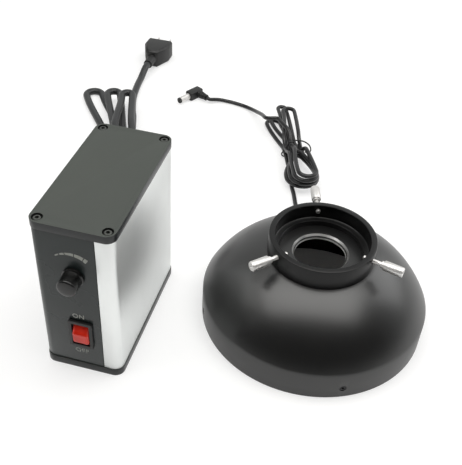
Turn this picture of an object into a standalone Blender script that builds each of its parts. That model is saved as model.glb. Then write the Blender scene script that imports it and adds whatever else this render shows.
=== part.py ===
"""A dome light for a stereo microscope, with its control box, low-voltage lead and mains lead.

Metres, +Z up, standing on z = 0. The front of the control box faces -Y, and the dome stands to its right.
The origin is below the middle of the box and dome together.
"""

import math

import bmesh
import bpy
import numpy as np
from mathutils import Matrix, Vector

# General
FIT_GAP = 0.0003
CUT_OVERRUN = 0.001
ROUND_STEPS = 40
SMALL_STEPS = 16
HEXAGON_SIDES_LESS_ONE = 5
CORNER_STEPS = 4
SMOOTH_ANGLE = math.radians(35)

# Where the dome stands beside the box
BOX_TO_DOME = 0.02767
DOME_AXIS_BEHIND_BOX_FRONT = 0.09257

# Dome shell
DOME_RADIUS = 0.0745
DOME_HEIGHT = 0.053
DOME_WALL = 0.002
SKIRT_HEIGHT = 0.0185
SKIRT_SLOPE = math.radians(26.6)
DOME_ARC_STEPS = 5
DOME_HOLE_RADIUS = 0.0167
HOLE_CHAMFER = 0.0017

# Reflector inside the dome
LINER_THICKNESS = 0.001

# Ring channel that carries the lamps
CARRIER_WALL = 0.0016
CARRIER_FLOOR = 0.002
CARRIER_INNER_HEIGHT = 0.0137
CARRIER_OUTER_HEIGHT = 0.0117
LAMP_BOARD_WIDTH = 0.0049
LAMP_BOARD_THICKNESS = 0.0016
LAMP_COUNT = 24
LAMP_SIDE = 0.0028
LAMP_HEIGHT = 0.0012

# Countersunk screws round the rim
RIM_SCREW_COUNT = 4
RIM_SCREW_HEIGHT = 0.008
RIM_SCREW_AZIMUTH = math.radians(-65.5)
RIM_HEAD_RADIUS = 0.0018
RIM_HEAD_DEPTH = 0.0011
RIM_SHANK_RADIUS = 0.001
RIM_SHANK_LENGTH = 0.0026
RIM_SOCKET_RADIUS = 0.0009
RIM_SOCKET_DEPTH = 0.0006

# Adapter collar on the dome
COLLAR_RADIUS = 0.0344
COLLAR_HEIGHT = 0.0137
COLLAR_BORE_RADIUS = 0.0305
COLLAR_LEDGE_RADIUS = 0.0268
COLLAR_LEDGE_HEIGHT = 0.0037
COLLAR_CHAMFER = 0.0005

# Screws that hold the collar from inside the dome
COLLAR_SCREW_CIRCLE_RADIUS = 0.0306
COLLAR_SCREW_AZIMUTH = math.radians(-75.3)
COLLAR_HEAD_RADIUS = 0.0021
COLLAR_HEAD_DEPTH = 0.0011
COLLAR_SHANK_RADIUS = 0.001
COLLAR_SHANK_LENGTH = 0.0035

# Thumbscrews through the collar
THUMBSCREW_COUNT = 3
THUMBSCREW_AZIMUTH = math.radians(-135.3)
THUMBSCREW_ABOVE_LEDGE = 0.0054
THUMB_TIP_FROM_AXIS = 0.0277
THUMB_OFFSETS = (-0.0007, 0.0003, 0.0013)
THUMB_SHAFT_RADIUS = 0.0015
THUMB_SHAFT_LENGTH = 0.012
THUMB_SHOULDER_RADIUS = 0.0023
THUMB_SHOULDER_LENGTH = 0.0015
THUMB_HEAD_RADIUS = 0.00325
THUMB_HEAD_LENGTH = 0.0126
THUMB_HEAD_CHAMFER = 0.0005
THUMB_KNURLS = 16
KNURL_DEPTH_SHARE = 0.07

# Cord sleeve in the dome's skirt
SLEEVE_AZIMUTH = math.radians(106)
SLEEVE_HEIGHT = 0.008
SLEEVE_NECK_RADIUS = 0.0033
SLEEVE_FLANGE_RADIUS = 0.0045
SLEEVE_FLANGE_THICKNESS = 0.0013
SLEEVE_NOSE_LENGTH = 0.006
SLEEVE_NOSE_RADIUS = 0.0025

# Control box
BOX_WIDTH = 0.050
BOX_DEPTH = 0.103
BOX_HEIGHT = 0.1125
PLATE_THICKNESS = 0.005
PLATE_CORNER_RADIUS = 0.006
BODY_INSET = 0.0004
BODY_WALL = 0.002
SILVER_FRONT_WIDTH = 0.01155
BOSS_RADIUS = 0.0034
BOSS_HOLE_DEPTH = 0.012

# Socket screws through the box's two plates
PLATE_SCREW_INSET = 0.00475
PLATE_SCREW_HEAD_RADIUS = 0.00275
PLATE_SCREW_HEAD_HEIGHT = 0.003
PLATE_SCREW_SHANK_RADIUS = 0.0013
PLATE_SCREW_LENGTH = 0.010
PLATE_SCREW_SOCKET_RADIUS = 0.0015
PLATE_SCREW_SOCKET_DEPTH = 0.0016
COUNTERBORE_RADIUS = 0.00325
COUNTERBORE_DEPTH = 0.0035

# Brightness knob and its potentiometer
KNOB_X = 0.0250
KNOB_Z = 0.0784
KNOB_REACH = 0.012
KNOB_FACE_RADIUS = 0.0058
KNOB_BASE_RADIUS = 0.0066
KNOB_RING_HEIGHT = 0.0018
KNOB_RING_STEP = 0.0004
KNOB_EDGE = 0.0005
KNOB_ABOVE_PANEL = 0.0006
KNOB_CAVITY_RADIUS = 0.0056
KNOB_CAVITY_DEPTH = 0.0036
KNOB_SHAFT_DEPTH = 0.0085
KNOB_STEPS = 32
POT_SHAFT_RADIUS = 0.002
POT_BUSHING_RADIUS = 0.0034
POT_BUSHING_PROUD = 0.003
POT_BODY_RADIUS = 0.0083
POT_BODY_DEPTH = 0.009
POT_SHAFT_INTO_BODY = 0.005
POT_NUT_SIDE_RADIUS = 0.0051
POT_NUT_THICKNESS = 0.0018

# Rocker switch
SWITCH_X = 0.0260
SWITCH_Z = 0.0319
BEZEL_WIDTH = 0.015
BEZEL_HEIGHT = 0.021
BEZEL_THICKNESS = 0.0017
SWITCH_BODY_WIDTH = 0.0129
SWITCH_BODY_HEIGHT = 0.019
SWITCH_BODY_DEPTH = 0.015
SWITCH_CAVITY_WIDTH = 0.0109
SWITCH_CAVITY_HEIGHT = 0.017
SWITCH_CAVITY_DEPTH = 0.0075
ROCKER_WIDTH = 0.0103
ROCKER_HALF_HEIGHT = 0.0074
ROCKER_SLOPE = math.radians(12.5)
ROCKER_RIDGE_ABOVE_PIVOT = 0.0045
ROCKER_PIVOT_BEHIND_PANEL = 0.001
ROCKER_KEEL_HALF_HEIGHT = 0.0024
ROCKER_KEEL_DEPTH = 0.0030
ROCKER_END_THICKNESS = 0.0026
ROCKER_PIN_RADIUS = 0.0008
ROCKER_PIN_PROUD = 0.0007
TERMINAL_WIDTH = 0.0063
TERMINAL_THICKNESS = 0.0008
TERMINAL_LENGTH = 0.008
TERMINAL_IN_BODY = 0.002
TERMINAL_SPACING = 0.008

# Driver board and what it carries
BOARD_FROM_LEFT = 0.0105
BOARD_THICKNESS = 0.0016
BOARD_HEIGHT = 0.080
RIB_THICKNESS = 0.0015
RIB_DEPTH = 0.003
TRANSFORMER_SIZE = (0.020, 0.026, 0.024)
TRANSFORMER_Y = 0.050
TRANSFORMER_Z = 0.028
CAPACITOR_RADIUS = 0.0065
CAPACITOR_LENGTH = 0.022
CAPACITOR_Y = 0.076
CAPACITOR_Z = 0.056
HEAT_SINK_SIZE = (0.012, 0.026, 0.020)
HEAT_SINK_BASE = 0.002
HEAT_SINK_FINS = 4
HEAT_SINK_FIN_THICKNESS = 0.0015
HEAT_SINK_Y = 0.048
HEAT_SINK_Z = 0.066

# Low-voltage socket in the back of the box
JACK_X = 0.025
JACK_Z = 0.080
JACK_FLANGE_RADIUS = 0.0055
JACK_FLANGE_THICKNESS = 0.0018
JACK_BARREL_RADIUS = 0.0039
JACK_BARREL_LENGTH = 0.012
JACK_BORE_RADIUS = 0.0030
JACK_BORE_DEPTH = 0.010
JACK_PIN_RADIUS = 0.0010
JACK_NUT_SIDE_RADIUS = 0.0062
JACK_NUT_THICKNESS = 0.002

# Mains gland in the back of the box
GLAND_X = 0.025
GLAND_Z = 0.020
GLAND_NECK_RADIUS = 0.0060
GLAND_FLANGE_RADIUS = 0.0078
GLAND_FLANGE_THICKNESS = 0.002
GLAND_LIP_RADIUS = 0.0050
GLAND_LIP_LENGTH = 0.004
GLAND_NOSE_RADIUS = 0.0043
GLAND_NOSE_LENGTH = 0.022

# Cords
DC_CORD_RADIUS = 0.0018
MAINS_CORD_RADIUS = 0.00325
CORD_SIDES_RESOLUTION = 2
COIL_SIDES_RESOLUTION = 1
CORD_STEP_DIAMETERS = 2.5
LOOP_POINTS = 24
FLOOR_GAP = 0.00005
ROW_GAP = 0.0009
COLUMN_GAP = 0.0008
LEG_SHARE = 0.25
EXIT_SHARE = 1 / 6
END_SHARE = 0.01
HALF_SHARE = 0.5
GAP_SAMPLES_PER_RADIUS = 4
GAP_CLEAR_RADII = 6
TIE_CLEARANCE = 0.0009
TIE_DRIFT_DIAMETERS = 1.8

# Where each turn of a hank crosses the waist: columns out from the middle, and rows up
WAIST_SLOTS = ((1, 0), (0, 0), (0, 1), (1, 1), (0, 2))

# Hank of the low-voltage lead, placed from the dome's axis. Each loop has its length, the radius of its
# tip, and how far the tip lies to the left. The first near loop is only the cord's way in. The steps are
# the height of the first near loop and from each near or far loop to the next. The spread is how many cord
# radii a run takes from the waist to climb to its loop and to begin to open, and the power it opens with.
DC_HANK_PLACE = (-0.0474, 0.1787)
DC_HANK_AZIMUTH = math.radians(111.5)
DC_HANK_NEAR_LOOPS = (
    (0.0450, 0.0065, 0.0),
    (0.0520, 0.0128, 0.0),
    (0.0545, 0.0112, -0.0004),
    (0.0560, 0.0092, -0.0008),
    (0.0560, 0.0074, -0.0014),
)
DC_HANK_FAR_LOOPS = (
    (0.0570, 0.0062, 0.0085),
    (0.0535, 0.0040, 0.0074),
    (0.0662, 0.0036, -0.0008),
    (0.0560, 0.0052, -0.0046),
    (0.0530, 0.0050, 0.0072),
)
DC_HANK_STEPS = (0.0044, 0.0044, 0.0044)
DC_HANK_SPREAD = (10, 6, 0.7)
DC_TIE_RADIUS = 0.0006

# Hank of the mains lead, the same way, with its near loops behind the box and towards the back
MAINS_HANK_PLACE = (-0.1872, 0.1300)
MAINS_HANK_AZIMUTH = math.radians(-64.7)
MAINS_HANK_NEAR_LOOPS = (
    (0.0850, 0.0155, 0.0),
    (0.1085, 0.0074, -0.0178),
    (0.0935, 0.0058, 0.0),
    (0.0765, 0.0048, 0.0115),
)
MAINS_HANK_FAR_LOOPS = (
    (0.0540, 0.0160, 0.0),
    (0.0520, 0.0150, 0.0),
    (0.0500, 0.0140, 0.0),
    (0.0560, 0.0140, 0.0140),
)
MAINS_HANK_STEPS = (0, 0.0075, 0.0077)
MAINS_HANK_SPREAD = (8, 5, 1)
MAINS_TIE_RADIUS = 0.0008

# Free stretches of the cords, from the dome's axis
DC_DOME_ROUTE = (
    (-0.0276, 0.0960, 0.0034),
    (-0.0311, 0.1083, 0.0019),
    (-0.0356, 0.1231, 0.0019),
    (-0.0396, 0.1345, 0.0019),
)
DC_PLUG_ROUTE = (
    (-0.0777, 0.2061, 0.0172),
    (-0.0843, 0.2181, 0.0125),
    (-0.0914, 0.2302, 0.0070),
    (-0.0987, 0.2393, 0.0034),
    (-0.1061, 0.2444, 0.0020),
    (-0.1135, 0.2465, 0.0019),
    (-0.1219, 0.2479, 0.0019),
    (-0.1322, 0.2471, 0.0026),
)
MAINS_BOX_ROUTE = (
    (-0.1560, 0.0800, 0.0240),
    (-0.1420, 0.0640, 0.0230),
    (-0.1310, 0.0500, 0.0210),
)
MAINS_PLUG_ROUTE = (
    (-0.2162, 0.2600, 0.0036),
    (-0.2145, 0.2447, 0.0034),
    (-0.2104, 0.2226, 0.0034),
)

# Low-voltage plug
PLUG_PLACE = (-0.1614, 0.2407)
PLUG_AZIMUTH = math.radians(-118.5)
PLUG_LENGTH = 0.016
PLUG_WIDTH = 0.0082
PLUG_HEIGHT = 0.0082
PLUG_CORNER_RADIUS = 0.0013
PLUG_CHAMFER = 0.0008
PLUG_SIDE_EXIT = 0.0112
RELIEF_ROOT_SHARE = 0.25
PLUG_RELIEF_LENGTH = 0.0097
PLUG_RELIEF_RADIUS = 0.0038
PLUG_RELIEF_END_RADIUS = 0.0027
BARREL_RADIUS = 0.00275
BARREL_LENGTH = 0.0115
BARREL_BORE_RADIUS = 0.00105
BARREL_COLLAR_RADIUS = 0.0031
BARREL_COLLAR_LENGTH = 0.0008
BARREL_TIP_LENGTH = 0.0010

# Mains plug
MAINS_PLUG_PLACE = (-0.2158, 0.2790)
MAINS_PLUG_AZIMUTH = math.radians(90)
MAINS_PLUG_RELIEF_LENGTH = 0.012
MAINS_PLUG_RELIEF_RADIUS = 0.0045
MAINS_PLUG_LENGTH = 0.030
MAINS_PLUG_WIDTH = 0.026
MAINS_PLUG_NECK_WIDTH = 0.012
MAINS_PLUG_HEIGHT = 0.018
MAINS_PLUG_CHAMFER = 0.002
MAINS_PLUG_SHOULDER_SHARE = 0.55
MAINS_PIN_LENGTH = 0.017
MAINS_PIN_IN_PLUG = 0.004
MAINS_PIN_WIDTH = 0.0063
MAINS_PIN_THICKNESS = 0.0015
MAINS_PIN_SPACING = 0.0127

# Places that follow from the sizes
KNOB_FROM_PLATES = KNOB_REACH - BODY_INSET
TOTAL_WIDTH = BOX_WIDTH + BOX_TO_DOME + 2 * DOME_RADIUS
TOTAL_DEPTH = KNOB_FROM_PLATES + DOME_AXIS_BEHIND_BOX_FRONT + DOME_RADIUS
BOX_PLACE = Vector((-TOTAL_WIDTH / 2, KNOB_FROM_PLATES - TOTAL_DEPTH / 2, 0))
DOME_PLACE = Vector((TOTAL_WIDTH / 2 - DOME_RADIUS, BOX_PLACE.y + DOME_AXIS_BEHIND_BOX_FRONT, 0))
COLLAR_BOTTOM = DOME_HEIGHT + FIT_GAP
CARRIER_OUTER_RADIUS = DOME_RADIUS - DOME_WALL - FIT_GAP
CARRIER_INNER_RADIUS = CARRIER_OUTER_RADIUS - LAMP_BOARD_WIDTH - 2 * (CARRIER_WALL + FIT_GAP)
BODY_BOTTOM = PLATE_THICKNESS + FIT_GAP
BODY_TOP = BOX_HEIGHT - PLATE_THICKNESS - FIT_GAP
BLACK_HALF_WIDTH = BOX_WIDTH - SILVER_FRONT_WIDTH
PANEL_Y = BODY_INSET
BACK_Y = BOX_DEPTH - BODY_INSET
PLATE_HOLE_RADIUS = PLATE_SCREW_SHANK_RADIUS + FIT_GAP


def clear_scene():
    for obj in list(bpy.data.objects):
        bpy.data.objects.remove(obj, do_unlink=True)


def material(name, color, roughness, metallic=0.0):
    made = bpy.data.materials.new(name)
    made.use_nodes = True
    shader = made.node_tree.nodes["Principled BSDF"]
    shader.inputs["Base Color"].default_value = (*color, 1)
    shader.inputs["Roughness"].default_value = roughness
    shader.inputs["Metallic"].default_value = metallic
    made.diffuse_color = (*color, 1)
    return made


def empty(name, location, parent=None):
    made = bpy.data.objects.new(name, None)
    made.location = location
    made.parent = parent
    bpy.context.scene.collection.objects.link(made)
    return made


def object_of(bm, name, surface, parent, location=(0, 0, 0), rotation=(0, 0, 0)):
    """An object with this mesh, its faces turned outwards and its round sides shaded smooth."""
    bmesh.ops.recalc_face_normals(bm, faces=bm.faces)
    mesh = bpy.data.meshes.new(name)
    bm.to_mesh(mesh)
    bm.free()
    mesh.shade_smooth()
    mesh.set_sharp_from_angle(angle=SMOOTH_ANGLE)
    if surface:
        mesh.materials.append(surface)
    made = bpy.data.objects.new(name, mesh)
    made.location = location
    made.rotation_euler = rotation
    made.parent = parent
    bpy.context.scene.collection.objects.link(made)
    return made


def turned(profile, steps, closed=True):
    """A mesh spun about Z from a profile of (radius, height). An open profile starts and ends on the axis."""
    bm = bmesh.new()
    points = [bm.verts.new((radius, 0, height)) for radius, height in profile]
    edges = [bm.edges.new(pair) for pair in zip(points, points[1:])]
    if closed:
        edges.append(bm.edges.new((points[-1], points[0])))
    bmesh.ops.spin(
        bm, geom=points + edges, axis=(0, 0, 1), cent=(0, 0, 0), angle=math.tau, steps=steps, use_merge=True
    )
    bmesh.ops.remove_doubles(bm, verts=bm.verts, dist=FIT_GAP / ROUND_STEPS)
    return bm


def prism(outline, low, high):
    """A mesh pushed up along Z from an outline of (x, y)."""
    bm = bmesh.new()
    face = bm.faces.new([bm.verts.new((x, y, low)) for x, y in outline])
    pushed = bmesh.ops.extrude_face_region(bm, geom=[face])
    tops = [item for item in pushed["geom"] if isinstance(item, bmesh.types.BMVert)]
    bmesh.ops.translate(bm, verts=tops, vec=(0, 0, high - low))
    return bm


def block(low, high):
    """A mesh of the box between two corners."""
    outline = ((low[0], low[1]), (high[0], low[1]), (high[0], high[1]), (low[0], high[1]))
    return prism(outline, low[2], high[2])


def joined(parts):
    """One mesh of several that don't touch each other."""
    bm = bmesh.new()
    for part in parts:
        mesh = bpy.data.meshes.new("part")
        part.to_mesh(mesh)
        part.free()
        bm.from_mesh(mesh)
        bpy.data.meshes.remove(mesh)
    return bm


def moved(bm, matrix):
    bmesh.ops.transform(bm, matrix=matrix, verts=bm.verts)
    return bm


def rod(radius, low, high, steps=SMALL_STEPS):
    """A solid round bar along Z."""
    return turned(((0, low), (radius, low), (radius, high), (0, high)), steps, closed=False)


def arc(center, radius, start, end, steps):
    """Points of an arc in the plane, both ends included."""
    turns = [start + (end - start) * step / steps for step in range(steps + 1)]
    return [(center[0] + radius * math.cos(turn), center[1] + radius * math.sin(turn)) for turn in turns]


def rounded_rectangle(left, front, right, back, radius):
    quarter = math.pi / 2
    corners = (
        ((right - radius, back - radius), 0),
        ((left + radius, back - radius), quarter),
        ((left + radius, front + radius), 2 * quarter),
        ((right - radius, front + radius), 3 * quarter),
    )
    points = []
    for center, start in corners:
        points += arc(center, radius, start, start + quarter, CORNER_STEPS)
    return points


def boolean(obj, bm, operation):
    """Cuts a mesh from an object, or adds it. The tool is placed in the object's own frame."""
    tool = object_of(bm, f"{obj.name}_{operation.lower()}_{len(obj.modifiers)}", None, obj)
    tool.hide_render = True
    tool.display_type = "WIRE"
    change = obj.modifiers.new(tool.name, "BOOLEAN")
    change.operation = operation
    change.solver = "EXACT"
    change.object = tool


def cut(obj, bm):
    boolean(obj, bm, "DIFFERENCE")


def add(obj, bm):
    boolean(obj, bm, "UNION")


def chamfered(obj, width):
    """Breaks an object's sharp edges."""
    bevel = obj.modifiers.new("edges", "BEVEL")
    bevel.width = width
    bevel.segments = 1
    bevel.limit_method = "ANGLE"
    bevel.angle_limit = SMOOTH_ANGLE
    return obj


def facing_front(bm, x, y, z):
    """Stands a mesh made along Z so that it points to the front, from a place in the box's frame."""
    return moved(bm, Matrix.Translation((x, y, z)) @ Matrix.Rotation(math.pi / 2, 4, "X"))


def facing_back(bm, x, y, z):
    return moved(bm, Matrix.Translation((x, y, z)) @ Matrix.Rotation(-math.pi / 2, 4, "X"))


def facing_out(bm, azimuth, height):
    """Lays a mesh made along Z so that it points outwards from the dome's axis."""
    lay = Matrix.Rotation(math.pi / 2, 4, "Y")
    return moved(bm, Matrix.Translation((0, 0, height)) @ Matrix.Rotation(azimuth, 4, "Z") @ lay)


def around(azimuth, count):
    return [azimuth + math.tau * index / count for index in range(count)]


def dome_curve(inset):
    """The dome's curved side, this far inside its outer face, from the skirt up to the flat top."""
    foot = Vector((DOME_RADIUS, SKIRT_HEIGHT))
    head = Vector((COLLAR_RADIUS, DOME_HEIGHT))
    inwards = Vector((-math.cos(SKIRT_SLOPE), -math.sin(SKIRT_SLOPE)))
    across = head - foot
    radius = across.length_squared / (2 * inwards.dot(across))
    center = foot + radius * inwards
    inner = radius - inset
    low = math.acos((DOME_RADIUS - inset - center.x) / inner)
    high = math.asin((DOME_HEIGHT - inset - center.y) / inner)
    return arc(center, inner, low, high, DOME_ARC_STEPS)


def dome_shell(parent, surface):
    outer = dome_curve(0)
    inner = dome_curve(DOME_WALL)
    chamfer_foot = DOME_HEIGHT - HOLE_CHAMFER
    profile = [(DOME_RADIUS, 0), *outer]
    profile += [(DOME_HOLE_RADIUS + HOLE_CHAMFER, DOME_HEIGHT), (DOME_HOLE_RADIUS, chamfer_foot)]
    profile += [(DOME_HOLE_RADIUS, DOME_HEIGHT - DOME_WALL), *reversed(inner), (DOME_RADIUS - DOME_WALL, 0)]
    shell = object_of(turned(profile, ROUND_STEPS), "dome_shell", surface, parent)
    sinks = []
    for azimuth in around(RIM_SCREW_AZIMUTH, RIM_SCREW_COUNT):
        sinks.append(facing_out(rim_sink(), azimuth, RIM_SCREW_HEIGHT))
    neck = SLEEVE_NECK_RADIUS + FIT_GAP
    low = CARRIER_OUTER_RADIUS - CARRIER_WALL
    sinks.append(facing_out(rod(neck, low, DOME_RADIUS + CUT_OVERRUN), SLEEVE_AZIMUTH, SLEEVE_HEIGHT))
    for azimuth in around(COLLAR_SCREW_AZIMUTH, THUMBSCREW_COUNT):
        place = Matrix.Rotation(azimuth, 4, "Z") @ Matrix.Translation((COLLAR_SCREW_CIRCLE_RADIUS, 0, 0))
        sinks.append(moved(collar_sink(), place))
    cut(shell, joined(sinks))
    return shell


def rim_sink():
    """The countersunk hole for a rim screw, along Z from the dome's axis, also through the carrier's wall."""
    hole = RIM_SHANK_RADIUS + FIT_GAP
    head = RIM_HEAD_RADIUS + FIT_GAP
    face = DOME_RADIUS
    profile = (
        (0, CARRIER_OUTER_RADIUS - CARRIER_WALL - CUT_OVERRUN),
        (hole, CARRIER_OUTER_RADIUS - CARRIER_WALL - CUT_OVERRUN),
        (hole, face - RIM_HEAD_DEPTH - FIT_GAP),
        (head, face - FIT_GAP),
        (head, face + CUT_OVERRUN),
        (0, face + CUT_OVERRUN),
    )
    return turned(profile, SMALL_STEPS, closed=False)


def collar_sink():
    """The countersunk hole for a collar screw, from inside the dome up into the collar."""
    hole = COLLAR_SHANK_RADIUS + FIT_GAP
    head = COLLAR_HEAD_RADIUS + FIT_GAP
    face = DOME_HEIGHT - DOME_WALL
    top = face + FIT_GAP + COLLAR_HEAD_DEPTH + COLLAR_SHANK_LENGTH + FIT_GAP
    profile = (
        (0, face - CUT_OVERRUN),
        (head, face - CUT_OVERRUN),
        (head, face + FIT_GAP),
        (hole, face + FIT_GAP + COLLAR_HEAD_DEPTH),
        (hole, top),
        (0, top),
    )
    return turned(profile, SMALL_STEPS, closed=False)


def reflector_liner(parent, surface):
    """The white lining, which follows the shell and stands on the carrier's outer wall."""
    outer = dome_curve(DOME_WALL + FIT_GAP)
    inner = dome_curve(DOME_WALL + FIT_GAP + LINER_THICKNESS)
    foot = FIT_GAP + CARRIER_OUTER_HEIGHT + FIT_GAP
    radius = DOME_RADIUS - DOME_WALL - FIT_GAP
    top = DOME_HEIGHT - DOME_WALL - FIT_GAP
    profile = [(radius, foot), *outer, (DOME_HOLE_RADIUS, top), (DOME_HOLE_RADIUS, top - LINER_THICKNESS)]
    profile += [*reversed(inner), (radius - LINER_THICKNESS, foot)]
    return object_of(turned(profile, ROUND_STEPS), "reflector_liner", surface, parent)


def led_carrier(parent, surface):
    outer = CARRIER_OUTER_RADIUS
    floor = FIT_GAP + CARRIER_FLOOR
    profile = (
        (outer, FIT_GAP),
        (outer, FIT_GAP + CARRIER_OUTER_HEIGHT),
        (outer - CARRIER_WALL, FIT_GAP + CARRIER_OUTER_HEIGHT),
        (outer - CARRIER_WALL, floor),
        (CARRIER_INNER_RADIUS + CARRIER_WALL, floor),
        (CARRIER_INNER_RADIUS + CARRIER_WALL, FIT_GAP + CARRIER_INNER_HEIGHT),
        (CARRIER_INNER_RADIUS, FIT_GAP + CARRIER_INNER_HEIGHT),
        (CARRIER_INNER_RADIUS, FIT_GAP),
    )
    carrier = object_of(turned(profile, ROUND_STEPS), "led_carrier", surface, parent)
    holes = []
    for azimuth in around(RIM_SCREW_AZIMUTH, RIM_SCREW_COUNT):
        holes.append(facing_out(rim_sink(), azimuth, RIM_SCREW_HEIGHT))
    low = outer - CARRIER_WALL - CUT_OVERRUN
    neck = rod(SLEEVE_NECK_RADIUS + FIT_GAP, low, outer + CUT_OVERRUN)
    holes.append(facing_out(neck, SLEEVE_AZIMUTH, SLEEVE_HEIGHT))
    cut(carrier, joined(holes))
    return carrier


def led_board(parent, surface):
    """The ring board with its lamps, one body because the lamps are soldered on."""
    inner = CARRIER_INNER_RADIUS + CARRIER_WALL + FIT_GAP
    outer = CARRIER_OUTER_RADIUS - CARRIER_WALL - FIT_GAP
    low = FIT_GAP + CARRIER_FLOOR + FIT_GAP
    high = low + LAMP_BOARD_THICKNESS
    profile = ((outer, low), (outer, high), (inner, high), (inner, low))
    board = object_of(turned(profile, ROUND_STEPS), "led_board", surface, parent)
    half = LAMP_SIDE / 2
    middle = (inner + outer) / 2
    lamps = []
    for azimuth in around(0, LAMP_COUNT):
        foot = low + LAMP_BOARD_THICKNESS / 2
        lamp = block((middle - half, -half, foot), (middle + half, half, high + LAMP_HEIGHT))
        lamps.append(moved(lamp, Matrix.Rotation(azimuth, 4, "Z")))
    add(board, joined(lamps))
    return board


def hexagon(radius, low, high):
    last = math.tau * HEXAGON_SIDES_LESS_ONE / (HEXAGON_SIDES_LESS_ONE + 1)
    return prism(arc((0, 0), radius, 0, last, HEXAGON_SIDES_LESS_ONE), low, high)


def rim_screws(parent, surface):
    top = DOME_RADIUS - FIT_GAP
    neck = top - RIM_HEAD_DEPTH
    end = neck - RIM_SHANK_LENGTH
    profile = ((0, end), (RIM_SHANK_RADIUS, end), (RIM_SHANK_RADIUS, neck), (RIM_HEAD_RADIUS, top), (0, top))
    for number, azimuth in enumerate(around(RIM_SCREW_AZIMUTH, RIM_SCREW_COUNT), 1):
        bm = facing_out(turned(profile, SMALL_STEPS, closed=False), azimuth, RIM_SCREW_HEIGHT)
        screw = object_of(bm, f"rim_screw_{number}", surface, parent)
        socket = hexagon(RIM_SOCKET_RADIUS, top - RIM_SOCKET_DEPTH, top + CUT_OVERRUN)
        cut(screw, facing_out(socket, azimuth, RIM_SCREW_HEIGHT))


def thumbscrew_height():
    return COLLAR_BOTTOM + COLLAR_LEDGE_HEIGHT + THUMBSCREW_ABOVE_LEDGE


def adapter_collar(parent, surface):
    top = COLLAR_BOTTOM + COLLAR_HEIGHT
    ledge = COLLAR_BOTTOM + COLLAR_LEDGE_HEIGHT
    profile = (
        (COLLAR_RADIUS, COLLAR_BOTTOM),
        (COLLAR_RADIUS, top - COLLAR_CHAMFER),
        (COLLAR_RADIUS - COLLAR_CHAMFER, top),
        (COLLAR_BORE_RADIUS, top),
        (COLLAR_BORE_RADIUS, ledge),
        (COLLAR_LEDGE_RADIUS, ledge),
        (COLLAR_LEDGE_RADIUS, COLLAR_BOTTOM),
    )
    collar = object_of(turned(profile, ROUND_STEPS), "adapter_collar", surface, parent)
    holes = []
    for azimuth in around(THUMBSCREW_AZIMUTH, THUMBSCREW_COUNT):
        hole = rod(THUMB_SHAFT_RADIUS + FIT_GAP, COLLAR_LEDGE_RADIUS, COLLAR_RADIUS + CUT_OVERRUN)
        holes.append(facing_out(hole, azimuth, thumbscrew_height()))
    for azimuth in around(COLLAR_SCREW_AZIMUTH, THUMBSCREW_COUNT):
        place = Matrix.Rotation(azimuth, 4, "Z") @ Matrix.Translation((COLLAR_SCREW_CIRCLE_RADIUS, 0, 0))
        holes.append(moved(collar_sink(), place))
    cut(collar, joined(holes))
    return collar


def collar_screws(parent, surface):
    face = DOME_HEIGHT - DOME_WALL + FIT_GAP
    neck = face + COLLAR_HEAD_DEPTH
    end = neck + COLLAR_SHANK_LENGTH
    profile = (
        (0, face),
        (COLLAR_HEAD_RADIUS, face),
        (COLLAR_SHANK_RADIUS, neck),
        (COLLAR_SHANK_RADIUS, end),
        (0, end),
    )
    for number, azimuth in enumerate(around(COLLAR_SCREW_AZIMUTH, THUMBSCREW_COUNT), 1):
        place = Matrix.Rotation(azimuth, 4, "Z") @ Matrix.Translation((COLLAR_SCREW_CIRCLE_RADIUS, 0, 0))
        bm = moved(turned(profile, SMALL_STEPS, closed=False), place)
        object_of(bm, f"collar_screw_{number}", surface, parent)


def thumbscrew_mesh():
    """A thumbscrew along Z from its tip, with ridges round its head."""
    shoulder = THUMB_SHAFT_LENGTH
    head = shoulder + THUMB_SHOULDER_LENGTH
    end = head + THUMB_HEAD_LENGTH
    profile = (
        (0, 0),
        (THUMB_SHAFT_RADIUS, 0),
        (THUMB_SHAFT_RADIUS, shoulder),
        (THUMB_SHOULDER_RADIUS, shoulder),
        (THUMB_SHOULDER_RADIUS, head),
        (THUMB_HEAD_RADIUS, head + THUMB_HEAD_CHAMFER),
        (THUMB_HEAD_RADIUS, end - THUMB_HEAD_CHAMFER),
        (THUMB_HEAD_RADIUS - THUMB_HEAD_CHAMFER, end),
        (0, end),
    )
    bm = turned(profile, 2 * THUMB_KNURLS, closed=False)
    for vert in bm.verts:
        radius = math.hypot(vert.co.x, vert.co.y)
        ridge = round(math.atan2(vert.co.y, vert.co.x) / math.tau * 2 * THUMB_KNURLS)
        if radius > (THUMB_SHOULDER_RADIUS + THUMB_HEAD_RADIUS) / 2 and ridge % 2:
            vert.co.x *= 1 - KNURL_DEPTH_SHARE
            vert.co.y *= 1 - KNURL_DEPTH_SHARE
    return bm


def thumbscrews(parent, surface):
    azimuths = around(THUMBSCREW_AZIMUTH, THUMBSCREW_COUNT)
    for number, (azimuth, offset) in enumerate(zip(azimuths, THUMB_OFFSETS), 1):
        reach = THUMB_TIP_FROM_AXIS + offset
        place = Vector((math.cos(azimuth) * reach, math.sin(azimuth) * reach, thumbscrew_height()))
        slide = empty(f"thumbscrew_{number}_slide", place, parent)
        lie = (0, math.pi / 2, azimuth)
        object_of(thumbscrew_mesh(), f"thumbscrew_{number}", surface, slide, rotation=lie)


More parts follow.
